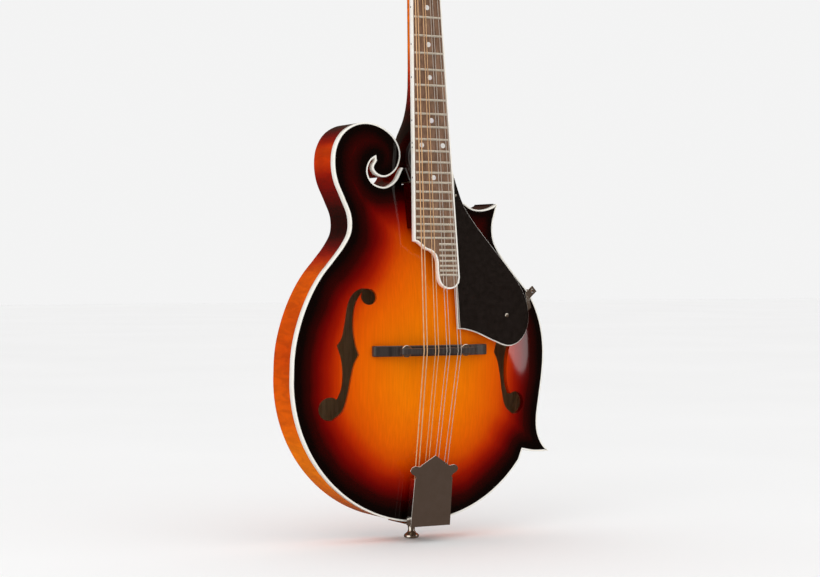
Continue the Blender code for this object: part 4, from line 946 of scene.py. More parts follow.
def carved_plate(height, holes, facing_front, margin):
    """An arched plate: its outer surface is triangulated inside the outline, then thickened."""
    edge = inset(BODY_OUTLINE, margin)
    loops = [edge, *holes]
    points = []
    edges = []
    for loop in loops:
        first = len(points)
        points.extend(loop)
        edges.extend((first + index, first + (index + 1) % len(loop)) for index in range(len(loop)))
    step = PLATE_MESH_STEP
    row_step = step * 0.87
    lattice = np.array([
        (-BOUT_RADIUS + (column + 0.5 * (row % 2)) * step, row * row_step)
        for row in range(round(BODY_LENGTH / row_step)) for column in range(round(BODY_WIDTH / step))
    ])
    kept = inside_many(lattice, edge)
    for loop in loops:
        kept &= distances(lattice, loop) > step * 0.5
    for hole in holes:
        kept &= ~inside_many(lattice, hole)
    points.extend(Vector(point) for point in lattice[kept])
    verts, _, faces, *_ = delaunay_2d_cdt(points, edges, [], 1, 1e-7)
    nothing = Vector((0.0, 0.0))
    middles = np.array([tuple(sum((verts[index] for index in face), nothing) / len(face)) for face in faces])
    cut_out = np.zeros(len(faces), bool)
    for hole in holes:
        cut_out |= inside_many(middles, hole)
    work = bmesh.new()
    corners = [work.verts.new((vert.x, vert.y, height(vert.x, vert.y))) for vert in verts]
    for face, gone in zip(faces, cut_out):
        if not gone:
            work.faces.new([corners[index] for index in face])
    bmesh.ops.delete(work, geom=[vert for vert in work.verts if not vert.link_faces], context="VERTS")
    bmesh.ops.recalc_face_normals(work, faces=work.faces)
    if (sum(face.normal.z for face in work.faces) > 0) != facing_front:
        bmesh.ops.reverse_faces(work, faces=work.faces)
    made = rough("plate", drawn_mesh("plate", work), FACE)
    return modify(made, "SOLIDIFY", thickness=PLATE_THICKNESS, offset=-1.0)


def part_of(path, start, end):
    """The stretch of a path between the points nearest to two places."""
    marks = [Vector(start) * MM, Vector(end) * MM]
    first, last = (min(range(len(path)), key=lambda index: (path[index] - mark).length) for mark in marks)
    return path[first:last + 1]


# How far in from the edge the stain on the sides looks, at heights up the body, in millimetres.
RIB_TONES = [
    (0, 60), (20, 62), (62, 98), (83, 94), (107, 62), (132, 57), (158, 49), (171, 48), (202, 50),
    (222, 56), (238, 54), (251, 40), (264, 23), (276, 12), (290, 12), (304, 19), (321, 27), (336, 40),
    (350, 43), (363, 22), (373, 12),
]
# The two body points: across, height and how far the dark stain reaches round each.
DARK_POINTS = ((134.5, 74.4, 34.0), (79.0, 303.0, 46.0))


def rib_tone(co):
    """How light the stain is along the sides: bright at the bouts, dark at the waist and the points."""
    levels, tones = zip(*RIB_TONES)
    tone = np.interp(co[:, 2] / MM, levels, tones)
    for x, z, reach in DARK_POINTS:
        near = np.hypot(co[:, 0] / MM - x, co[:, 2] / MM - z) / reach
        tone = np.where(near < 1, np.minimum(tone, 8 + 40 * near), tone)
    return tone * MM


def dark_stain(co):
    """The stain of the neck block, which shows beside the heel and in the scroll."""
    return np.full(len(co), 6 * MM)


def riser_stain(co):
    return np.full(len(co), 13 * MM)


def back_h(x, z):
    return -RIM_DEPTH - BACK_ARCH * arch(x, z)


def maple(name, made, replaced, stain, **settings):
    """A piece of stained maple on the body."""
    piece(name, made, "sunburst_maple", MAPLE, replaced, stain, **settings)


def plates():
    top = carved_plate(top_h, [f_hole(-1), f_hole(1)], True, BINDING_WIDTH + GAP)
    piece("top", top, "sunburst_spruce", SPRUCE, ["top_plate"], edge_distance, bevel=0.35 * MM, inner=1)
    back = carved_plate(back_h, [], False, 0.25 * MM)
    maple("back", back, ["back_plate"], edge_distance, bevel=0.8 * MM, inner=-1)


def binding():
    start = RIM_PATH[0] + (RIM_PATH[1] - RIM_PATH[0]).normalized() * BINDING_NECK_GAP
    clear = BINDING_NECK_GAP * 1.2
    path = [start, *[point for point in RIM_PATH[1:] if (point - RIM_PATH[0]).length > clear]]
    rim = edge_round(strip("rim", path, -BINDING_DEPTH, 0.0, BINDING_WIDTH), 0.45 * MM, 3)
    piece("edge_binding", rim, "ivoroid", IVOROID, ["body_binding"])
    inner = inset(path, BINDING_WIDTH + 0.02 * MM, closed=False)
    line = strip("line", inner, -PURFLING_DEPTH, 0.08 * MM, PURFLING_WIDTH)
    piece("edge_purfling", line, "black_plastic", PURFLING)


def sides():
    high = -BINDING_DEPTH - 0.05 * MM
    low = -RIM_DEPTH + 0.25 * MM
    ribs = {
        "rib_bass": part_of(BASS_SIDE, SCROLL_RUN[0], TAIL_POINT),
        "rib_treble_lower": LOWER_TREBLE_SIDE,
        "rib_treble_waist": WAIST_SIDE,
        "rib_treble_shoulder": SHOULDER_SIDE,
    }
    for name, path in ribs.items():
        wall = strip(name, path, low, high, SIDE_THICKNESS, rows=2)
        maple(name + "_side", wall, [name], rib_tone, angle=50)
    # The slot's side leaves out the first point, which is beside the heel.
    path = [point for point in SLOT_SIDE if point.y < SLOT_SIDE_TOP_Z or point.x < SLOT_TIP_X]
    slot = strip("slot", path, low, high, 1.0 * MM, rows=2)
    maple("scroll_slot_side", slot, (), rib_tone, angle=50)


def blocks():
    """The solid wood in the two points and in the scroll."""
    lower = chain(
        part_of(LOWER_TREBLE_SIDE, LOWER_POINT_BLOCK[0], POINT_UNDERSIDE_RUN[-1]),
        part_of(WAIST_SIDE, WAIST_RUN[0], LOWER_POINT_BLOCK[1]),
        in_mm([(117.5, 93.0), (111.8, 89.0), (104.3, 78.2), (101.2, 69.4)]),
    )
    upper = chain(
        part_of(WAIST_SIDE, UPPER_POINT_BLOCK[0], WAIST_RUN[-1]),
        part_of(SHOULDER_SIDE, SHOULDER_RUN[0], UPPER_POINT_BLOCK[1]),
        in_mm([(68.9, 294.6), (70.2, 290.4)]),
    )
    shoulder = part_of(SHOULDER_SIDE, (56.0, 297.0), NECK_POCKET[0])
    inner_face = in_mm([(-62.0, 300.0), (-36.0, 285.0), (36.0, 285.0)])
    pocket = in_mm([(20.0, 318.5), (-18.0, 318.5)])
    tip = part_of(BASS_SIDE, SCROLL_RUN[0], (-80.0, 308.0))
    scroll = chain(SLOT_SIDE, tip, inner_face, shoulder, pocket)
    for name, outline in (("lower_point_block", lower), ("upper_point_block", upper)):
        core = flat(name, inset(outline, BLOCK_INSET), RIB_LOW, BLOCK_TOP)
        piece(name + "_core", core, "bare_wood", BARE, [name])
    core = flat("neck_block", inset(scroll, BLOCK_INSET), RIB_LOW, BLOCK_TOP)
    maple("neck_block_core", core, ["neck_block"], dark_stain)


# ---- Neck, fingerboard and headstock ----

def board_corner(side, along):
    return Vector((side * board_half_width(along), along))


def board_outline(extra=0.0):
    """The fingerboard's outline, with its nut end moved out by some extra length."""
    bass = board_corner(-1, BOARD_BASS_CORNER * MM)
    treble = board_corner(1, BOARD_TREBLE_CORNER * MM)
    end_run = smooth_run(BOARD_END_RUN, 1.5 * MM)
    return [board_corner(-1, extra), bass, *end_run, treble, board_corner(1, extra)]


def frets():
    rising = [(-1.0, -0.3), (-1.0, 0.12), (-0.86, 0.55), (-0.5, 0.88)]
    profile = [*rising, (0.0, 1.0), *[(-across, out) for across, out in reversed(rising)]]
    # How far in from a fret's end, and the share of its height that it has there.
    rounding = [(0.0, 0.2), (0.6 * MM, 0.8), (1.1 * MM, 1.0)]
    made = []
    for number in range(1, LAST_FRET + 1):
        along = -fret_distance(number)
        edge = board_half_width(along) - BOARD_BINDING_WIDTH - 2 * GAP
        bass_end = -edge if along > BOARD_BASS_CORNER * MM else EXTENSION_FRET_START
        places = [(bass_end + inward, share) for inward, share in rounding]
        places += [(edge - inward, share) for inward, share in reversed(rounding)]
        rows = []
        for x, share in places:
            row = []
            for across, out in profile:
                height = out * FRET_HEIGHT * (share if out > 0 else 1.0)
                row.append((x, along + across * FRET_WIDTH / 2, height))
            rows.append(row)
        made.append(grid_surface("fret", rows, BOARD))
    piece("frets", made, "nickel", FRET_METAL, angle=40)


def disc(name, radius, out, depth, frame_, steps):
    """A flat disc that stands out a little from its frame's plane and goes in to a depth."""
    return turned(name, [(0.0, out), (radius, out), (radius, -depth), (0.0, -depth)], frame_, steps)


def fingerboard():
    wood = inset(board_outline(BOARD_BINDING_WIDTH + GAP), BOARD_BINDING_WIDTH + 0.05 * MM)
    board = flat("board", wood, -BOARD_THICKNESS, 0.0, BOARD)
    piece("fingerboard_wood", board, "rosewood", ROSEWOOD, ["fingerboard"], bevel=0.2 * MM)
    edge = strip("edge", board_outline(), -BOARD_THICKNESS, 0.0, BOARD_BINDING_WIDTH, BOARD)
    piece("board_binding", edge_round(edge, 0.3 * MM), "ivoroid", IVOROID, ["fingerboard_binding"])


def position_marks():
    dot_profile = [
        (0.0, DOT_RISE), (DOT_RADIUS - DOT_SLOPE, DOT_RISE), (DOT_RADIUS, 0.0), (DOT_RADIUS, -DOT_DEPTH),
        (0.0, -DOT_DEPTH),
    ]
    dots = []
    marks = []
    for number in DOTTED_FRETS:
        along = -(fret_distance(number) + fret_distance(number - 1)) / 2
        for spot in OCTAVE_DOTS if number == OCTAVE_FRET else (0.0,):
            dots.append(turned("dot", dot_profile, place(BOARD, spot, along, 0), 28))
        for shift in OCTAVE_SIDE_DOTS if number == OCTAVE_FRET else (0.0,):
            at = along + shift
            side = place(BOARD, -board_half_width(at), at, -BOARD_THICKNESS / 2) @ turn(-90, "Y")
            marks.append(disc("mark", SIDE_DOT_RADIUS, 0.03 * MM, 0.4 * MM, side, 18))
    piece("position_dots", dots, "pearl_plastic", PEARL)
    piece("side_dots", marks, "black_plastic", PURFLING)


def riser():
    """The wood between the end of the fingerboard and the arched top."""
    low = RISER_END_Z
    high = BODY_JOINT_Z - GAP
    steps = 10
    outline = []
    for step in range(steps + 1):
        z = low + (high - low) * step / steps
        outline.append(Vector((z, top_h(0, z) + 0.3 * MM)))
    outline += [Vector((high, board_bottom(high))), Vector((low, board_bottom(low)))]
    wood = flat("riser", outline, -RISER_HALF_WIDTH, RISER_HALF_WIDTH, SIDE)
    maple("riser", wood, ["fingerboard_riser"], riser_stain, bevel=0.5 * MM)


def nut():
    half = board_half_width(0) - 0.2 * MM
    top = NUT_RISE
    profile = [Vector((-half, -BOARD_THICKNESS))]
    profile += [Vector((-half, top - NUT_ROUNDING)), Vector((-half + NUT_ROUNDING, top))]
    for _, x, radius in string_places(COURSES_AT_NUT, PAIR_AT_NUT):
        reach = radius + 0.1 * MM
        profile += [Vector((x - reach, top)), Vector((x, top - NUT_SLOT_DEPTH)), Vector((x + reach, top))]
    profile += [Vector((half - NUT_ROUNDING, top)), Vector((half, top - NUT_ROUNDING))]
    profile += [Vector((half, -BOARD_THICKNESS))]
    across_out = BOARD @ Matrix(((1, 0, 0, 0), (0, 0, -1, 0), (0, 1, 0, 0), (0, 0, 0, 1)))
    bone = flat("bone", profile, -NUT_LENGTH + GAP, -GAP, across_out)
    piece("nut_bone", bone, "bone", BONE, ["nut"], bevel=0.2 * MM)


# How far in from the edge the stain on the neck looks, at heights, in millimetres.
NECK_TONES = [
    (300, 7), (372, 8), (385, 17), (398, 26), (413, 37), (430, 52), (440, 75), (500, 75), (516, 30),
    (528, 12), (560, 8), (700, 8),
]


def neck_tone(co):
    levels, tones = zip(*NECK_TONES)
    return np.interp(co[:, 2] / MM, levels, tones) * MM


def neck():
    """The shaft and heel as one smooth loft, squarer and a little narrower at the heel."""
    levels, depths = zip(*sorted(NECK_STATIONS))
    heel = np.arange(levels[0], HEEL_TOP, HEEL_STEP)
    fine = np.concatenate([heel, np.arange(HEEL_TOP, levels[-1], SHAFT_STEP), [levels[-1]]])
    smooth_depth = np.interp(fine, levels, depths)
    for _ in range(3):
        smooth_depth[1:-1] = (smooth_depth[:-2] + 2 * smooth_depth[1:-1] + smooth_depth[2:]) / 4
    rows = []
    for z, depth in zip(fine * MM, smooth_depth * MM):
        share = min(1.0, max(0.0, (depth / MM - SHAFT_DEPTH) / (HEEL_FULL_DEPTH - SHAFT_DEPTH)))
        width = board_half_width(z - NUT_Z) - share * MM
        power = 2 / (2 + 0.7 * share)
        past_nut = max(0.0, z - NUT_Z - NUT_LENGTH)
        top = board_bottom(z) - past_nut * math.tan(HEAD_ANGLE - NECK_ANGLE) - min(GAP, past_nut)
        row = []
        for step in range(NECK_SIDES + 1):
            angle = math.pi * step / NECK_SIDES
            across = math.copysign(abs(math.cos(angle)) ** power, math.cos(angle)) * width
            row.append((across, z, top - depth * math.sin(angle) ** power))
        rows.append(row)
    maple("neck_wood", grid_surface("shaft", rows, FACE), ["neck"], neck_tone)


def headstock():
    """The headstock runs into the neck's shaft; its face has a veneer."""
    holes = bores(POST_RADIUS + 0.4 * MM)
    core_top = -VENEER_THICKNESS - 0.05 * MM
    core = flat("core", head_outline(), core_top - HEAD_THICKNESS, core_top, HEAD, holes)
    maple("headstock_wood", edge_round(core, 1.0 * MM, 3), (), neck_tone)
    opening = in_mm([(-4, 8), (4, 8), (4, 27), (-4, 27)])
    veneer = flat("veneer", head_outline(GAP), -VENEER_THICKNESS, 0.0, HEAD, [*holes, opening])
    piece("headstock_face_veneer", veneer, "ebony", HEAD_LACQUER, ["headstock_veneer"], bevel=0.3 * MM)


ROD_COVER_OUTLINE = [(9.5, 6.0), (8.6, 14.0), (5.2, 24.0), (2.4, 32.0), (0.0, 34.0)]
ROD_COVER_SCREWS = [(-5.5, 10), (5.5, 10), (0, 29.5)]


def truss_rod_cover():
    """A bell-shaped cover of black over white, with three screws."""
    half = smooth_run(ROD_COVER_OUTLINE, 1.2 * MM)
    bell = half + mirrored(half[:-1])
    top = 1.8 * MM
    cover = flat("bell", bell, 0.9 * MM, top, HEAD)
    piece("rod_cover", cover, "black_plastic", BLACK, ["truss_rod_cover"], bevel=0.3 * MM)
    edge = flat("bell", bell, 0.1 * MM, 0.88 * MM, HEAD)
    piece("rod_cover_edge", edge, "pearl_plastic", WHITE_PLY, bevel=0.1 * MM)
    screws = [screw_head(1.5 * MM, place(HEAD, *spot, top)) for spot in in_mm(ROD_COVER_SCREWS)]
    piece("rod_cover_screws", screws, "nickel", NICKEL)


def head_outline(start=0.0):
    corner = Vector((HEAD_OUTLINE[0][0], 0)) * MM + Vector((0, start))
    half = [corner, *smooth_run(HEAD_OUTLINE, 2 * MM)]
    return half + mirrored(half[:-1])


def post_places():
    for side, label in ((-1, "bass"), (1, "treble")):
        for number in range(4):
            yield label, number + 1, side * POST_X, FIRST_POST + number * POST_SPACING


def bores(radius):
    """The holes for the tuning posts, with a point every 15 degrees."""
    return [arc((x, along), radius, 0, 345, radius * 0.2618) for _, _, x, along in post_places()]


# ---- Tuning machines ----

PLATE_OUT = -VENEER_THICKNESS - HEAD_THICKNESS - TUNER_PLATE_THICKNESS - 2 * GAP
GEAR_OUT = PLATE_OUT - 2 * GAP
WORM_OUT = PLATE_OUT - WORM_RADIUS - 2 * GAP
WORM_OFFSET = GEAR_RADIUS + WORM_RADIUS + GAP
POST_PROFILE = [
    (0.0, 13.0), (1.7, 13.0), (2.3, 12.7), (2.7, 12.0), (2.7, 9.6), (2.5, 9.0), (2.1, 8.4), (2.1, 5.6),
    (2.5, 5.0), (2.95, 4.6),
]
FERRULE_PROFILE = [(3.2, 1.2), (3.9, 1.2), (4.5, 0.8), (5.0, 0.2), (5.0, 0.02), (3.2, 0.02)]
# One gear tooth: share of the way to the next tooth, and radius in millimetres.
TOOTH_PROFILE = [(0.0, 5.5), (0.22, 5.55), (0.36, 6.15), (0.64, 6.15), (0.78, 5.55)]
# The worm's shaft, with heights from the start of the knob, and then its inner end.
SHAFT_PROFILE = [(0.0, 2.0), (1.45, 2.0), (1.45, -1.0), (2.3, -1.2), (2.3, -2.2), (1.45, -2.6)]
SHAFT_END = [(1.45, -7.2), (1.0, -7.4), (0.0, -7.4)]


def tuning_post(name, node, x, along):
    """The post with a black disc painted as the shade of its string hole, its gear and gear screw."""
    at = place(HEAD, x, along, 0)
    profile = [*millimetres(POST_PROFILE), (2.95 * MM, GEAR_OUT), (0.0, GEAR_OUT)]
    # The string hole is not cut: a black disc on the post's side stands for it, as painted shade of the
    # hole's dark inside.
    hole_frame = place(at, 0, 0, POST_HOLE_OUT) @ turn(90, "Y")
    hole = turned("hole", millimetres([(0.0, 2.72), (0.75, 2.72), (0.75, 2.0), (0.0, 2.0)]), hole_frame, 16)
    piece(f"{name}_barrel", turned("post", profile, at), "nickel", NICKEL, [node], body=name)
    piece(f"{name}_string_hole_painted_shade", hole, "black_plastic", PURFLING, body=name)
    ring = []
    for tooth in range(GEAR_TEETH):
        for share, radius in TOOTH_PROFILE:
            angle = 2 * math.pi * (tooth + share) / GEAR_TEETH
            ring.append(Vector((radius * MM * math.cos(angle), radius * MM * math.sin(angle))))
    gear = flat("gear", ring, GEAR_OUT - GEAR_THICKNESS, GEAR_OUT, at)
    piece(f"{name}_gear", gear, "gear_brass", BRASS, bevel=0.15 * MM, body=name)
    screw_frame = place(at, 0, 0, GEAR_OUT - GEAR_THICKNESS + 0.9 * MM) @ turn(180, "X")
    piece(f"{name}_gear_screw", screw_head(2.0 * MM, screw_frame), "nickel", NICKEL, body=name)


def tuning_button(name, node, frame_):
    """The worm on its shaft, the knob and the knob's pin."""
    thread = (WORM_RADIUS, WORM_THREAD_DEPTH, WORM_PITCH, -WORM_HALF_LENGTH, WORM_HALF_LENGTH)
    worm = threaded("worm", *thread, frame_, 24, 14)
    profile = [(radius, KNOB_START + height) for radius, height in millimetres(SHAFT_PROFILE)]
    shaft = turned("shaft", profile + millimetres(SHAFT_END), frame_, 24)
    piece(f"{name}_worm", [worm, shaft], "nickel", NICKEL, [node], body=name)
    knob = rounded_form("knob", KNOB_SIZE, place(frame_, 0, 0, KNOB_START + 5.25 * MM))
    piece(f"{name}_knob", knob, "pearl_plastic", PEARL, body=name)
    pin = screw_head(1.3 * MM, place(frame_, 0, 0, KNOB_START + 10.35 * MM))
    piece(f"{name}_knob_pin", pin, "nickel", NICKEL, body=name)


def tuners():
    ferrules = []
    screws = []
    for label, number, x, along in post_places():
        side = -1 if label == "bass" else 1
        which = f"{label}_{number}"
        tuning_post(f"post_{which}", f"tuner_post_{which}", x, along)
        at = place(HEAD, x, along, 0)
        ferrules.append(turned("ferrule", millimetres(FERRULE_PROFILE), at, 28, ring=True))
        shaft_frame = place(HEAD, x, along - WORM_OFFSET, WORM_OUT) @ turn(side * 90, "Y")
        tuning_button(f"button_{which}", f"tuner_button_{which}", shaft_frame)
    for side in (-1, 1):
        for along in TUNER_PLATE_SCREWS:
            spot = place(HEAD, side * TUNER_PLATE_SCREW_X, along, PLATE_OUT) @ turn(180, "X")
            screws.append(screw_head(1.7 * MM, spot))
    piece("post_ferrules", ferrules, "nickel", NICKEL)
    piece("tuner_plate_screws", screws, "nickel", NICKEL)


# ---- Bridge ----

BRIDGE_PLAN = PLAN @ Matrix.Translation((0, 0, -BRIDGE_Z))
# The underside of the saddle, from its middle to its end, then its end and shoulder.
SADDLE_UNDER = [(0.0, 30.2), (8.0, 30.0), (16.0, 29.3), (20.5, 27.9), (24.5, 27.4), (37.5, 27.4)]
SADDLE_SHOULDER = [
    (37.8, 29.5), (37.4, 32.0), (35.0, 33.8), (31.5, 34.5), (28.5, 35.0), (26.0, 36.0), (23.0, 36.6),
]
# The height wheel's cross-section.
WHEEL_PROFILE = [
    (2.15, 0.0), (2.15, 1.1), (4.9, 1.1), (5.38, 0.75), (5.38, -0.75), (4.9, -1.1), (2.15, -1.1),
    (2.15, 0.0),
]


def bridge_foot():
    """The base, fitted to the arch of the top."""
    feet = []
    for step in range(41):
        x = BASE_HALF_LENGTH * (step / 20 - 1)
        feet.append(Vector((x, top_h(x, BRIDGE_Z) + 0.12 * MM)))
    end = (top_h(BASE_HALF_LENGTH, BRIDGE_Z) + 0.45 * MM) / MM
    flat_top = BASE_TOP_H / MM
    shoulder = [(57.5, end + 3.4), (56.0, end + 5.2), (51.0, end + 6.6)]
    rise = [(43.0, flat_top - 1.6), (38.5, flat_top - 0.3), (35.5, flat_top)]
    crown = smooth_run(shoulder + rise, 1.5 * MM)
    base = flat("base", feet + crown + mirrored(crown), -BASE_WIDTH / 2, BASE_WIDTH / 2, BRIDGE_PLAN)
    piece("bridge_foot", base, "ebony", EBONY, ["bridge_base"], bevel=0.7 * MM)


def saddle():
    bass_side = [(-x, h) for x, h in reversed(SADDLE_UNDER[1:])]
    under = smooth_run(bass_side + SADDLE_UNDER, 1.5 * MM)
    right = smooth_run(SADDLE_SHOULDER, 1.2 * MM)
    crest = []
    seats = []
    for index, (_, x, radius) in enumerate(string_places(COURSES_AT_SADDLE, PAIR_AT_SADDLE)):
        reach = radius + 0.25 * MM
        notch = [(x - reach, SADDLE_CREST_H), (x, SADDLE_CREST_H - 0.3 * MM), (x + reach, SADDLE_CREST_H)]
        crest += [Vector(point) for point in notch]
        shift = WOUND_SEAT_SHIFT if index < WOUND_STRINGS else PLAIN_SEAT_SHIFT
        seats.append(block("seat", SEAT_SIZE, (x, BRIDGE_Z + shift, SADDLE_CREST_H + 0.2 * MM)))
    outline = under + right + crest[::-1] + mirrored(right)
    wood = flat("saddle", outline, -SADDLE_WIDTH / 2, SADDLE_WIDTH / 2, BRIDGE_PLAN)
    piece("saddle_wood", wood, "ebony", EBONY, ["bridge_saddle"], bevel=0.35 * MM, body="saddle")
    piece("saddle_seats", seats, "ebony", EBONY, bevel=0.15 * MM, body="saddle")


def height_wheel(label, x):
    """One threaded stud and the knurled wheel that the saddle rests on."""
    low = BASE_TOP_H - 2 * MM
    at = place(FACE, x, BRIDGE_Z, 0)
    stud = threaded("stud", STUD_RADIUS, THREAD_DEPTH, STUD_PITCH, low, STUD_TOP_H, at)
    piece("stud_" + label, stud, "nickel", NICKEL)
    rows = []
    for radius, height in WHEEL_PROFILE:
        row = []
        for step in range(KNURLS * 2):
            angle = math.pi * step / KNURLS
            reach = radius - (KNURL_DEPTH if radius > 5 and step % 2 else 0.0)
            row.append((reach * MM * math.cos(angle), reach * MM * math.sin(angle), height * MM))
        rows.append(row)
    middle = SADDLE_BOTTOM_H - GAP - WHEEL_THICKNESS / 2
    wheel = grid_surface("wheel", rows, place(FACE, x, BRIDGE_Z, middle), caps=False)
    rides = "wheel_" + label
    piece(rides + "_knurled", wheel, "nickel", NICKEL, ["thumbwheel_" + label], body=rides)


# ---- Tailpiece, strap button, strings and pickguard ----

COVER_SIDE = [(20.0, 0.2), (19.1, 43.0)]
COVER_SIDE_DEPTH = 8.5 * MM
COVER_LIP_SIZE = (39.4 * MM, SHEET, 2.8 * MM)
COVER_LIP_CENTRE = (0, SHEET / 2 + 0.1 * MM, -1.65 * MM)
TAIL_PLATE_Z = 16.2 * MM
TAIL_SCREW_X = 11.0 * MM
TAIL_SCREW_H = -10.0 * MM
# The bent plate from the side: each run's points, in millimetres, and the spacing along it.
TAIL_PLATE_RUNS = [
    ([(16.2, -33.0), (16.2, -10.0)], 4.0),
    ([(16.2, -10.0), (16.2, 0.0), (16.6, 4.5), (18.8, 7.9), (24.0, 9.0)], 1.0),
    ([(24.0, 9.0), (53.0, 11.0)], 5.0),
]
STRAP_BUTTON_PROFILE = [
    (0.0, 33.0), (1.5, 31.5), (2.3, 29.0), (2.3, 15.2), (4.3, 15.2), (4.4, 14.6), (4.1, 12.6),
    (3.5, 10.6), (3.15, 8.8), (3.15, 7.2), (3.5, 5.8), (4.4, 4.6), (5.7, 3.7), (6.6, 2.9), (6.9, 1.9),
    (6.8, 1.0), (6.3, 0.3), (5.6, 0.0), (0.0, 0.0),
]
# The strings' hooks, as seen from the side: how far each leans towards the neck, and its height.
HOOK_RUN = [(0.0, 10.9), (-0.1, 12.0), (-0.5, 13.1), (-1.1, 14.1)]


def tail_plate():
    """The bent plate with its hooks and screws."""
    bend = []
    for points, spacing in TAIL_PLATE_RUNS:
        bend = bend[:-1] + smooth_run(points, spacing * MM)
    base = strip("base", bend, -BASE_PLATE_HALF_WIDTH, BASE_PLATE_HALF_WIDTH, SHEET, SIDE)
    piece("tail_plate", base, "nickel", AGED_NICKEL, ["tailpiece_base"], bevel=0.2 * MM)
    hooks = []
    for _, x, _ in string_places(COURSES_AT_TAIL, PAIR_AT_TAIL):
        path = [FACE @ Vector((x, HOOK_Z - LOOP_DROP + lean * MM, h * MM)) for lean, h in HOOK_RUN]
        hooks.append(tube("hook", path, HOOK_RADIUS, 12))
    piece("string_hooks", hooks, "nickel", AGED_NICKEL)
    screws = []
    for x in (-TAIL_SCREW_X, TAIL_SCREW_X):
        spot = place(FACE, x, TAIL_PLATE_Z, TAIL_SCREW_H)
        screws.append(screw_head(1.9 * MM, spot @ turn(90, "X")))
    piece("tail_plate_screws", screws, "nickel", NICKEL)


def tail_cover():
    """The cover: its face, two folded sides and a lip at the tail."""
    half = in_mm(COVER_OUTLINE)
    curves = [smooth_run(COVER_OUTLINE[start:end], MM) for start, end in ((1, 4), (3, 8), (7, 10))]
    right = chain(half[:2], *curves, half[9:])
    front = flat("front", right + mirrored(right[:-1]), -SHEET, 0.0, COVER)
    walls = []
    for side in (-1, 1):
        wall = in_mm([(side * across, along) for across, along in COVER_SIDE])[::side]
        walls.append(strip("cover_side", wall, -COVER_SIDE_DEPTH, -SHEET / 2, SHEET, COVER))
    lip = block("lip", COVER_LIP_SIZE, COVER_LIP_CENTRE, COVER)
    cover = [front, *walls, lip]
    piece("tail_cover", cover, "nickel", COVER_METAL, ["tailpiece_cover"], bevel=0.28 * MM, body="cover")


def strap_button():
    button = turned("button", millimetres(STRAP_BUTTON_PROFILE), Matrix.Identity(4), 40)
    piece("end_button", button, "nickel", NICKEL, ["strap_button"])


def string_places(course, pair):
    """Each string's name, place across and radius, from the bass side."""
    for index, label in enumerate(("g", "d", "a", "e")):
        for number, half in ((1, -1), (2, 1)):
            yield f"string_{label}_{number}", (index - 1.5) * course + half * pair, STRING_RADII[index]


def hook_loop(x):
    """The loop at a string's end, round its hook."""
    loop = []
    for step in range(9):
        angle = math.radians(-160 + 40 * step)
        across = x + LOOP_RADIUS * math.sin(angle)
        along = HOOK_Z - LOOP_DROP - LOOP_RADIUS * math.cos(angle)
        loop.append(FACE @ Vector((across, along, HOOK_H)))
    return loop


def post_winding(x, along, side, radius):
    """A string's turns round its tuning post, a point every 36 degrees."""
    wrap = WINDING_RADIUS + radius
    run = []
    for step in range(25):
        angle = math.radians(180 - 36 * step) if side > 0 else math.radians(36 * step)
        height = STRING_POST_OUT - WINDING_DROP * (step + 1)
        run.append(HEAD @ Vector((x + wrap * math.cos(angle), along + wrap * math.sin(angle), height)))
    return run


def straight(start, end, steps):
    return [start.lerp(end, step / steps) for step in range(steps + 1)]


def strings():
    """Each string has a tail part from its hook to the saddle, and a playing part on to its post."""
    saddle_places = list(string_places(COURSES_AT_SADDLE, PAIR_AT_SADDLE))
    nut_places = list(string_places(COURSES_AT_NUT, PAIR_AT_NUT))
    posts = {(label, number): (x, along) for label, number, x, along in post_places()}
    for index, (name, tail_x, radius) in enumerate(string_places(COURSES_AT_TAIL, PAIR_AT_TAIL)):
        wound = index < WOUND_STRINGS
        surface = BRONZE if wound else STEEL
        slot = "string_bronze" if wound else "string_steel"
        hook = FACE @ Vector((tail_x, HOOK_Z, HOOK_H))
        rest = FACE @ Vector((saddle_places[index][1], BRIDGE_Z, SADDLE_TOP_H - 0.35 * MM))
        bend = BOARD @ Vector((nut_places[index][1], NUT_LENGTH / 2, NUT_RISE + radius))
        loop = tube(name, hook_loop(tail_x), min(radius, 0.25 * MM), 8)
        tail = [loop, tube(name, straight(hook, rest, 24), radius)]
        back = piece(name + "_tail", tail, slot, surface, body=None)
        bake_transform(back)
        # The bass strings go to the bass posts, the treble ones to the treble posts in reverse.
        post = ("bass", index + 1) if index < 4 else ("treble", 8 - index)
        winding = post_winding(*posts[post], -1 if index < 4 else 1, radius)
        playing = tube(name, straight(rest, bend, 60) + winding, radius)
        front = piece(name + "_playing", playing, slot, surface, [name], body=None)
        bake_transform(front)


# Each ply's name, how far in its edge is, its underside and top, slot, material, CAD node and bevel.
GUARD_PLIES = (
    ("guard_face", 0.85 * MM, -0.75 * MM, 0.0, "black_plastic", BLACK, ["pickguard"], 0.12 * MM),
    ("guard_white_ply", 0.35 * MM, -1.35 * MM, -0.78 * MM, "pearl_plastic", WHITE_PLY, (), 0.1 * MM),
    ("guard_under_ply", 0.0, -PICKGUARD_THICKNESS, -1.37 * MM, "black_plastic", WHITE_PLY, (), 0.1 * MM),
)
# Across, height and radius, in millimetres.
GUARD_SCREWS = ((75.9, 201.3, 2.0), (24.9, 309.0, 1.1))


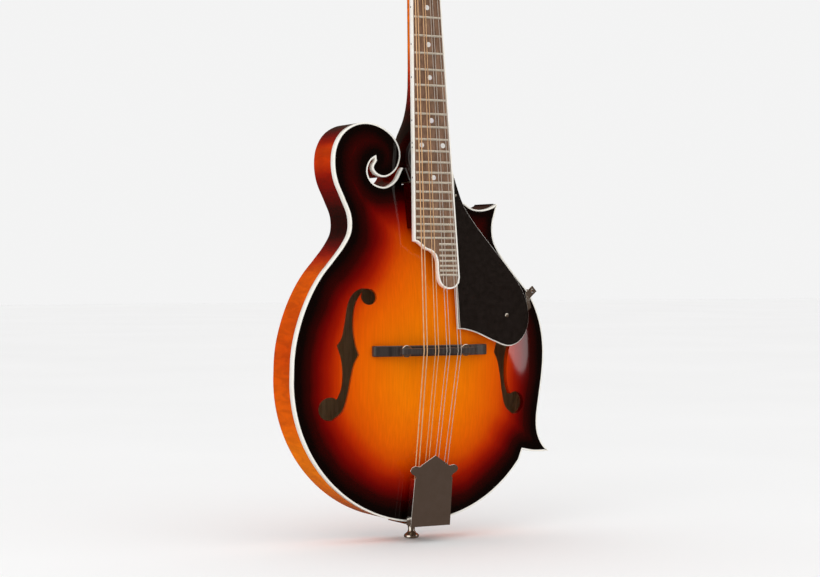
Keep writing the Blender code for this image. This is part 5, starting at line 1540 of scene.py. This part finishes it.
def pickguard():
    """Black over two white plies, each a little wider than the one above."""
    frame_ = leaning(FACE_Y - PICKGUARD_H, PICKGUARD_Z, PICKGUARD_SLOPE)
    run = smooth_run(PICKGUARD_RUN, 3 * MM) + in_mm([PICKGUARD_NECK_EDGE])
    outline = [Vector((point.x, point.y - PICKGUARD_Z)) for point in run]
    for name, inward, low, high, slot, surface, replaced, bevel in GUARD_PLIES:
        edge = inset(outline, inward) if inward else outline
        piece(name, flat("ply", edge, low, high, frame_), slot, surface, replaced, bevel=bevel)
    screws = []
    for x, z, radius in GUARD_SCREWS:
        screws.append(screw_head(radius * MM, place(frame_, x * MM, z * MM - PICKGUARD_Z, 0)))
    piece("guard_screws", screws, "nickel", NICKEL)


# CAD nodes that keep their own mesh, with their material and the width of their soft edges.
KEPT_NODES = (
    ("tuner_plate_bass", AGED_NICKEL, 0.2 * MM), ("tuner_plate_treble", AGED_NICKEL, 0.2 * MM),
    ("pickguard_bracket", NICKEL, 0.2 * MM), ("pickguard_clamp", NICKEL, 0.15 * MM),
    ("truss_rod", STEEL, 0.1 * MM), ("truss_rod_nut", BRASS, 0.2 * MM),
    ("tail_block", BARE, 0.3 * MM), ("lining_front", BARE, 0.3 * MM), ("lining_back", BARE, 0.3 * MM),
    ("tone_bar_bass", BARE, 0.5 * MM), ("tone_bar_treble", BARE, 0.5 * MM),
)


def dress_kept_nodes():
    for node, surface, width in KEPT_NODES:
        obj = NODES[node]
        obj.data.materials.clear()
        obj.data.materials.append(surface)
        modify(obj, "WELD", merge_threshold=0.00001)
        edge_round(obj, width)


# ---- Stage, light and camera ----

FLOOR_SIZE = 12.0
FLOOR_TONES = ((0.92, 0.92, 0.92, 1.0), (0.94, 0.94, 0.94, 1.0))
SEEN_WHITE = (0.90, 0.90, 0.90, 1.0)
SHADING_WHITE = (0.96, 0.96, 0.96, 1.0)
DIM_ROOM = (0.078, 0.053, 0.040, 1.0)
BRIGHT_CARD = (1.15, 1.10, 1.04, 1.0)
# Name, place, size, power and whether it shows in reflections.
LAMPS = (
    ("key", (-1.7, -1.5, 1.5), (1.3, 1.3), 9.0, False),
    ("window", (2.1, -1.35, 0.24), (0.22, 0.70), 1.5, True),
)
LAMP_TARGET = (0.0, 0.0, 0.25)
# Where the ceiling and the card begin and are full, along the direction looked in.
CEILING_Z = (0.55, 0.8)
CARD_X = (-0.6, -0.85)
CARD_Y = (0.35, 0.1)
SEEN_FROM = (-0.8579, -1.5646, 0.2417)
CAMERA_TARGET = (-0.0124, -0.020, 0.2259)
LENS = 86.5
SENSOR_WIDTH = 36.0


def floor():
    work = bmesh.new()
    bmesh.ops.create_grid(work, x_segments=8, y_segments=8, size=FLOOR_SIZE)
    made = bpy.data.objects.new("floor", drawn_mesh("floor", work))
    made.location.z = -0.5 * MM
    made.visible_glossy = False
    paper = Surface("paper", Roughness=0.9, Specular_IOR_Level=0.1)
    paper.colour(paper.ramp(paper.noise(0.6, detail=2.0), list(zip((0.3, 0.7), FLOOR_TONES))))
    made.data.materials.append(paper.material)
    bpy.context.scene.collection.objects.link(made)


def room_light():
    """Even white for the camera and for shading.

    Reflections see a dim warm room, with a bright ceiling and a bright card on the left.
    """
    world = bpy.data.worlds.new("studio")
    world.use_nodes = True
    bpy.context.scene.world = world
    tree = world.node_tree

    def light(colour):
        return shader_node(tree, "Background", {"Color": colour}, "Background")

    def choose(ray, otherwise, chosen):
        shows = shader_node(tree, "LightPath", {}, ray)
        return shader_node(tree, "MixShader", {0: shows, 1: otherwise, 2: chosen}, "Shader")

    def rise(axis, low, high):
        towards = shader_node(tree, "TexCoord", {}, "Generated")
        value = shader_node(tree, "SeparateXYZ", {"Vector": towards}, axis)
        limits = {"Value": value, "From Min": low, "From Max": high}
        return shader_node(tree, "MapRange", limits, "Result", interpolation_type="SMOOTHSTEP")

    ceiling = rise("Z", *CEILING_Z)
    card = {0: rise("X", *CARD_X), 1: rise("Y", *CARD_Y)}
    card = shader_node(tree, "Math", card, "Value", operation="MULTIPLY")
    either = shader_node(tree, "Math", {0: ceiling, 1: card}, "Value", operation="MAXIMUM")
    room = shader_node(tree, "ValToRGB", {"Fac": either}, "Color")
    for element, colour in zip(room.node.color_ramp.elements, (DIM_ROOM, BRIGHT_CARD)):
        element.color = colour
    indirect = choose("Is Glossy Ray", light(SHADING_WHITE), light(room))
    seen = choose("Is Camera Ray", indirect, light(SEEN_WHITE))
    tree.links.new(seen, tree.nodes["World Output"].inputs["Surface"])



def lamps():
    for name, spot, size, power, in_reflections in LAMPS:
        lamp = bpy.data.lights.new(name, "AREA")
        lamp.shape = "RECTANGLE"
        lamp.size, lamp.size_y = size
        lamp.energy = power
        made = bpy.data.objects.new(name, lamp)
        made.location = spot
        made.rotation_euler = (Vector(LAMP_TARGET) - Vector(spot)).to_track_quat("-Z", "Y").to_euler()
        made.visible_glossy = in_reflections
        bpy.context.scene.collection.objects.link(made)


def camera():
    data = bpy.data.cameras.new("camera")
    data.lens = LENS
    data.sensor_width = SENSOR_WIDTH
    made = bpy.data.objects.new("camera", data)
    made.location = SEEN_FROM
    made.rotation_euler = (Vector(CAMERA_TARGET) - Vector(SEEN_FROM)).to_track_quat("-Z", "Y").to_euler()
    bpy.context.scene.collection.objects.link(made)
    bpy.context.scene.camera = made


plates()
binding()
sides()
blocks()
fingerboard()
frets()
position_marks()
riser()
nut()
neck()
headstock()
truss_rod_cover()
tuners()
bridge_foot()
saddle()
height_wheel("bass", -BRIDGE_POST_X)
height_wheel("treble", BRIDGE_POST_X)
tail_plate()
tail_cover()
strap_button()
strings()
pickguard()
dress_kept_nodes()
floor()
room_light()
lamps()
camera()
bpy.context.scene.view_settings.view_transform = "Standard"
for leftover in list(TEMPORARY.objects):
    bpy.data.objects.remove(leftover)
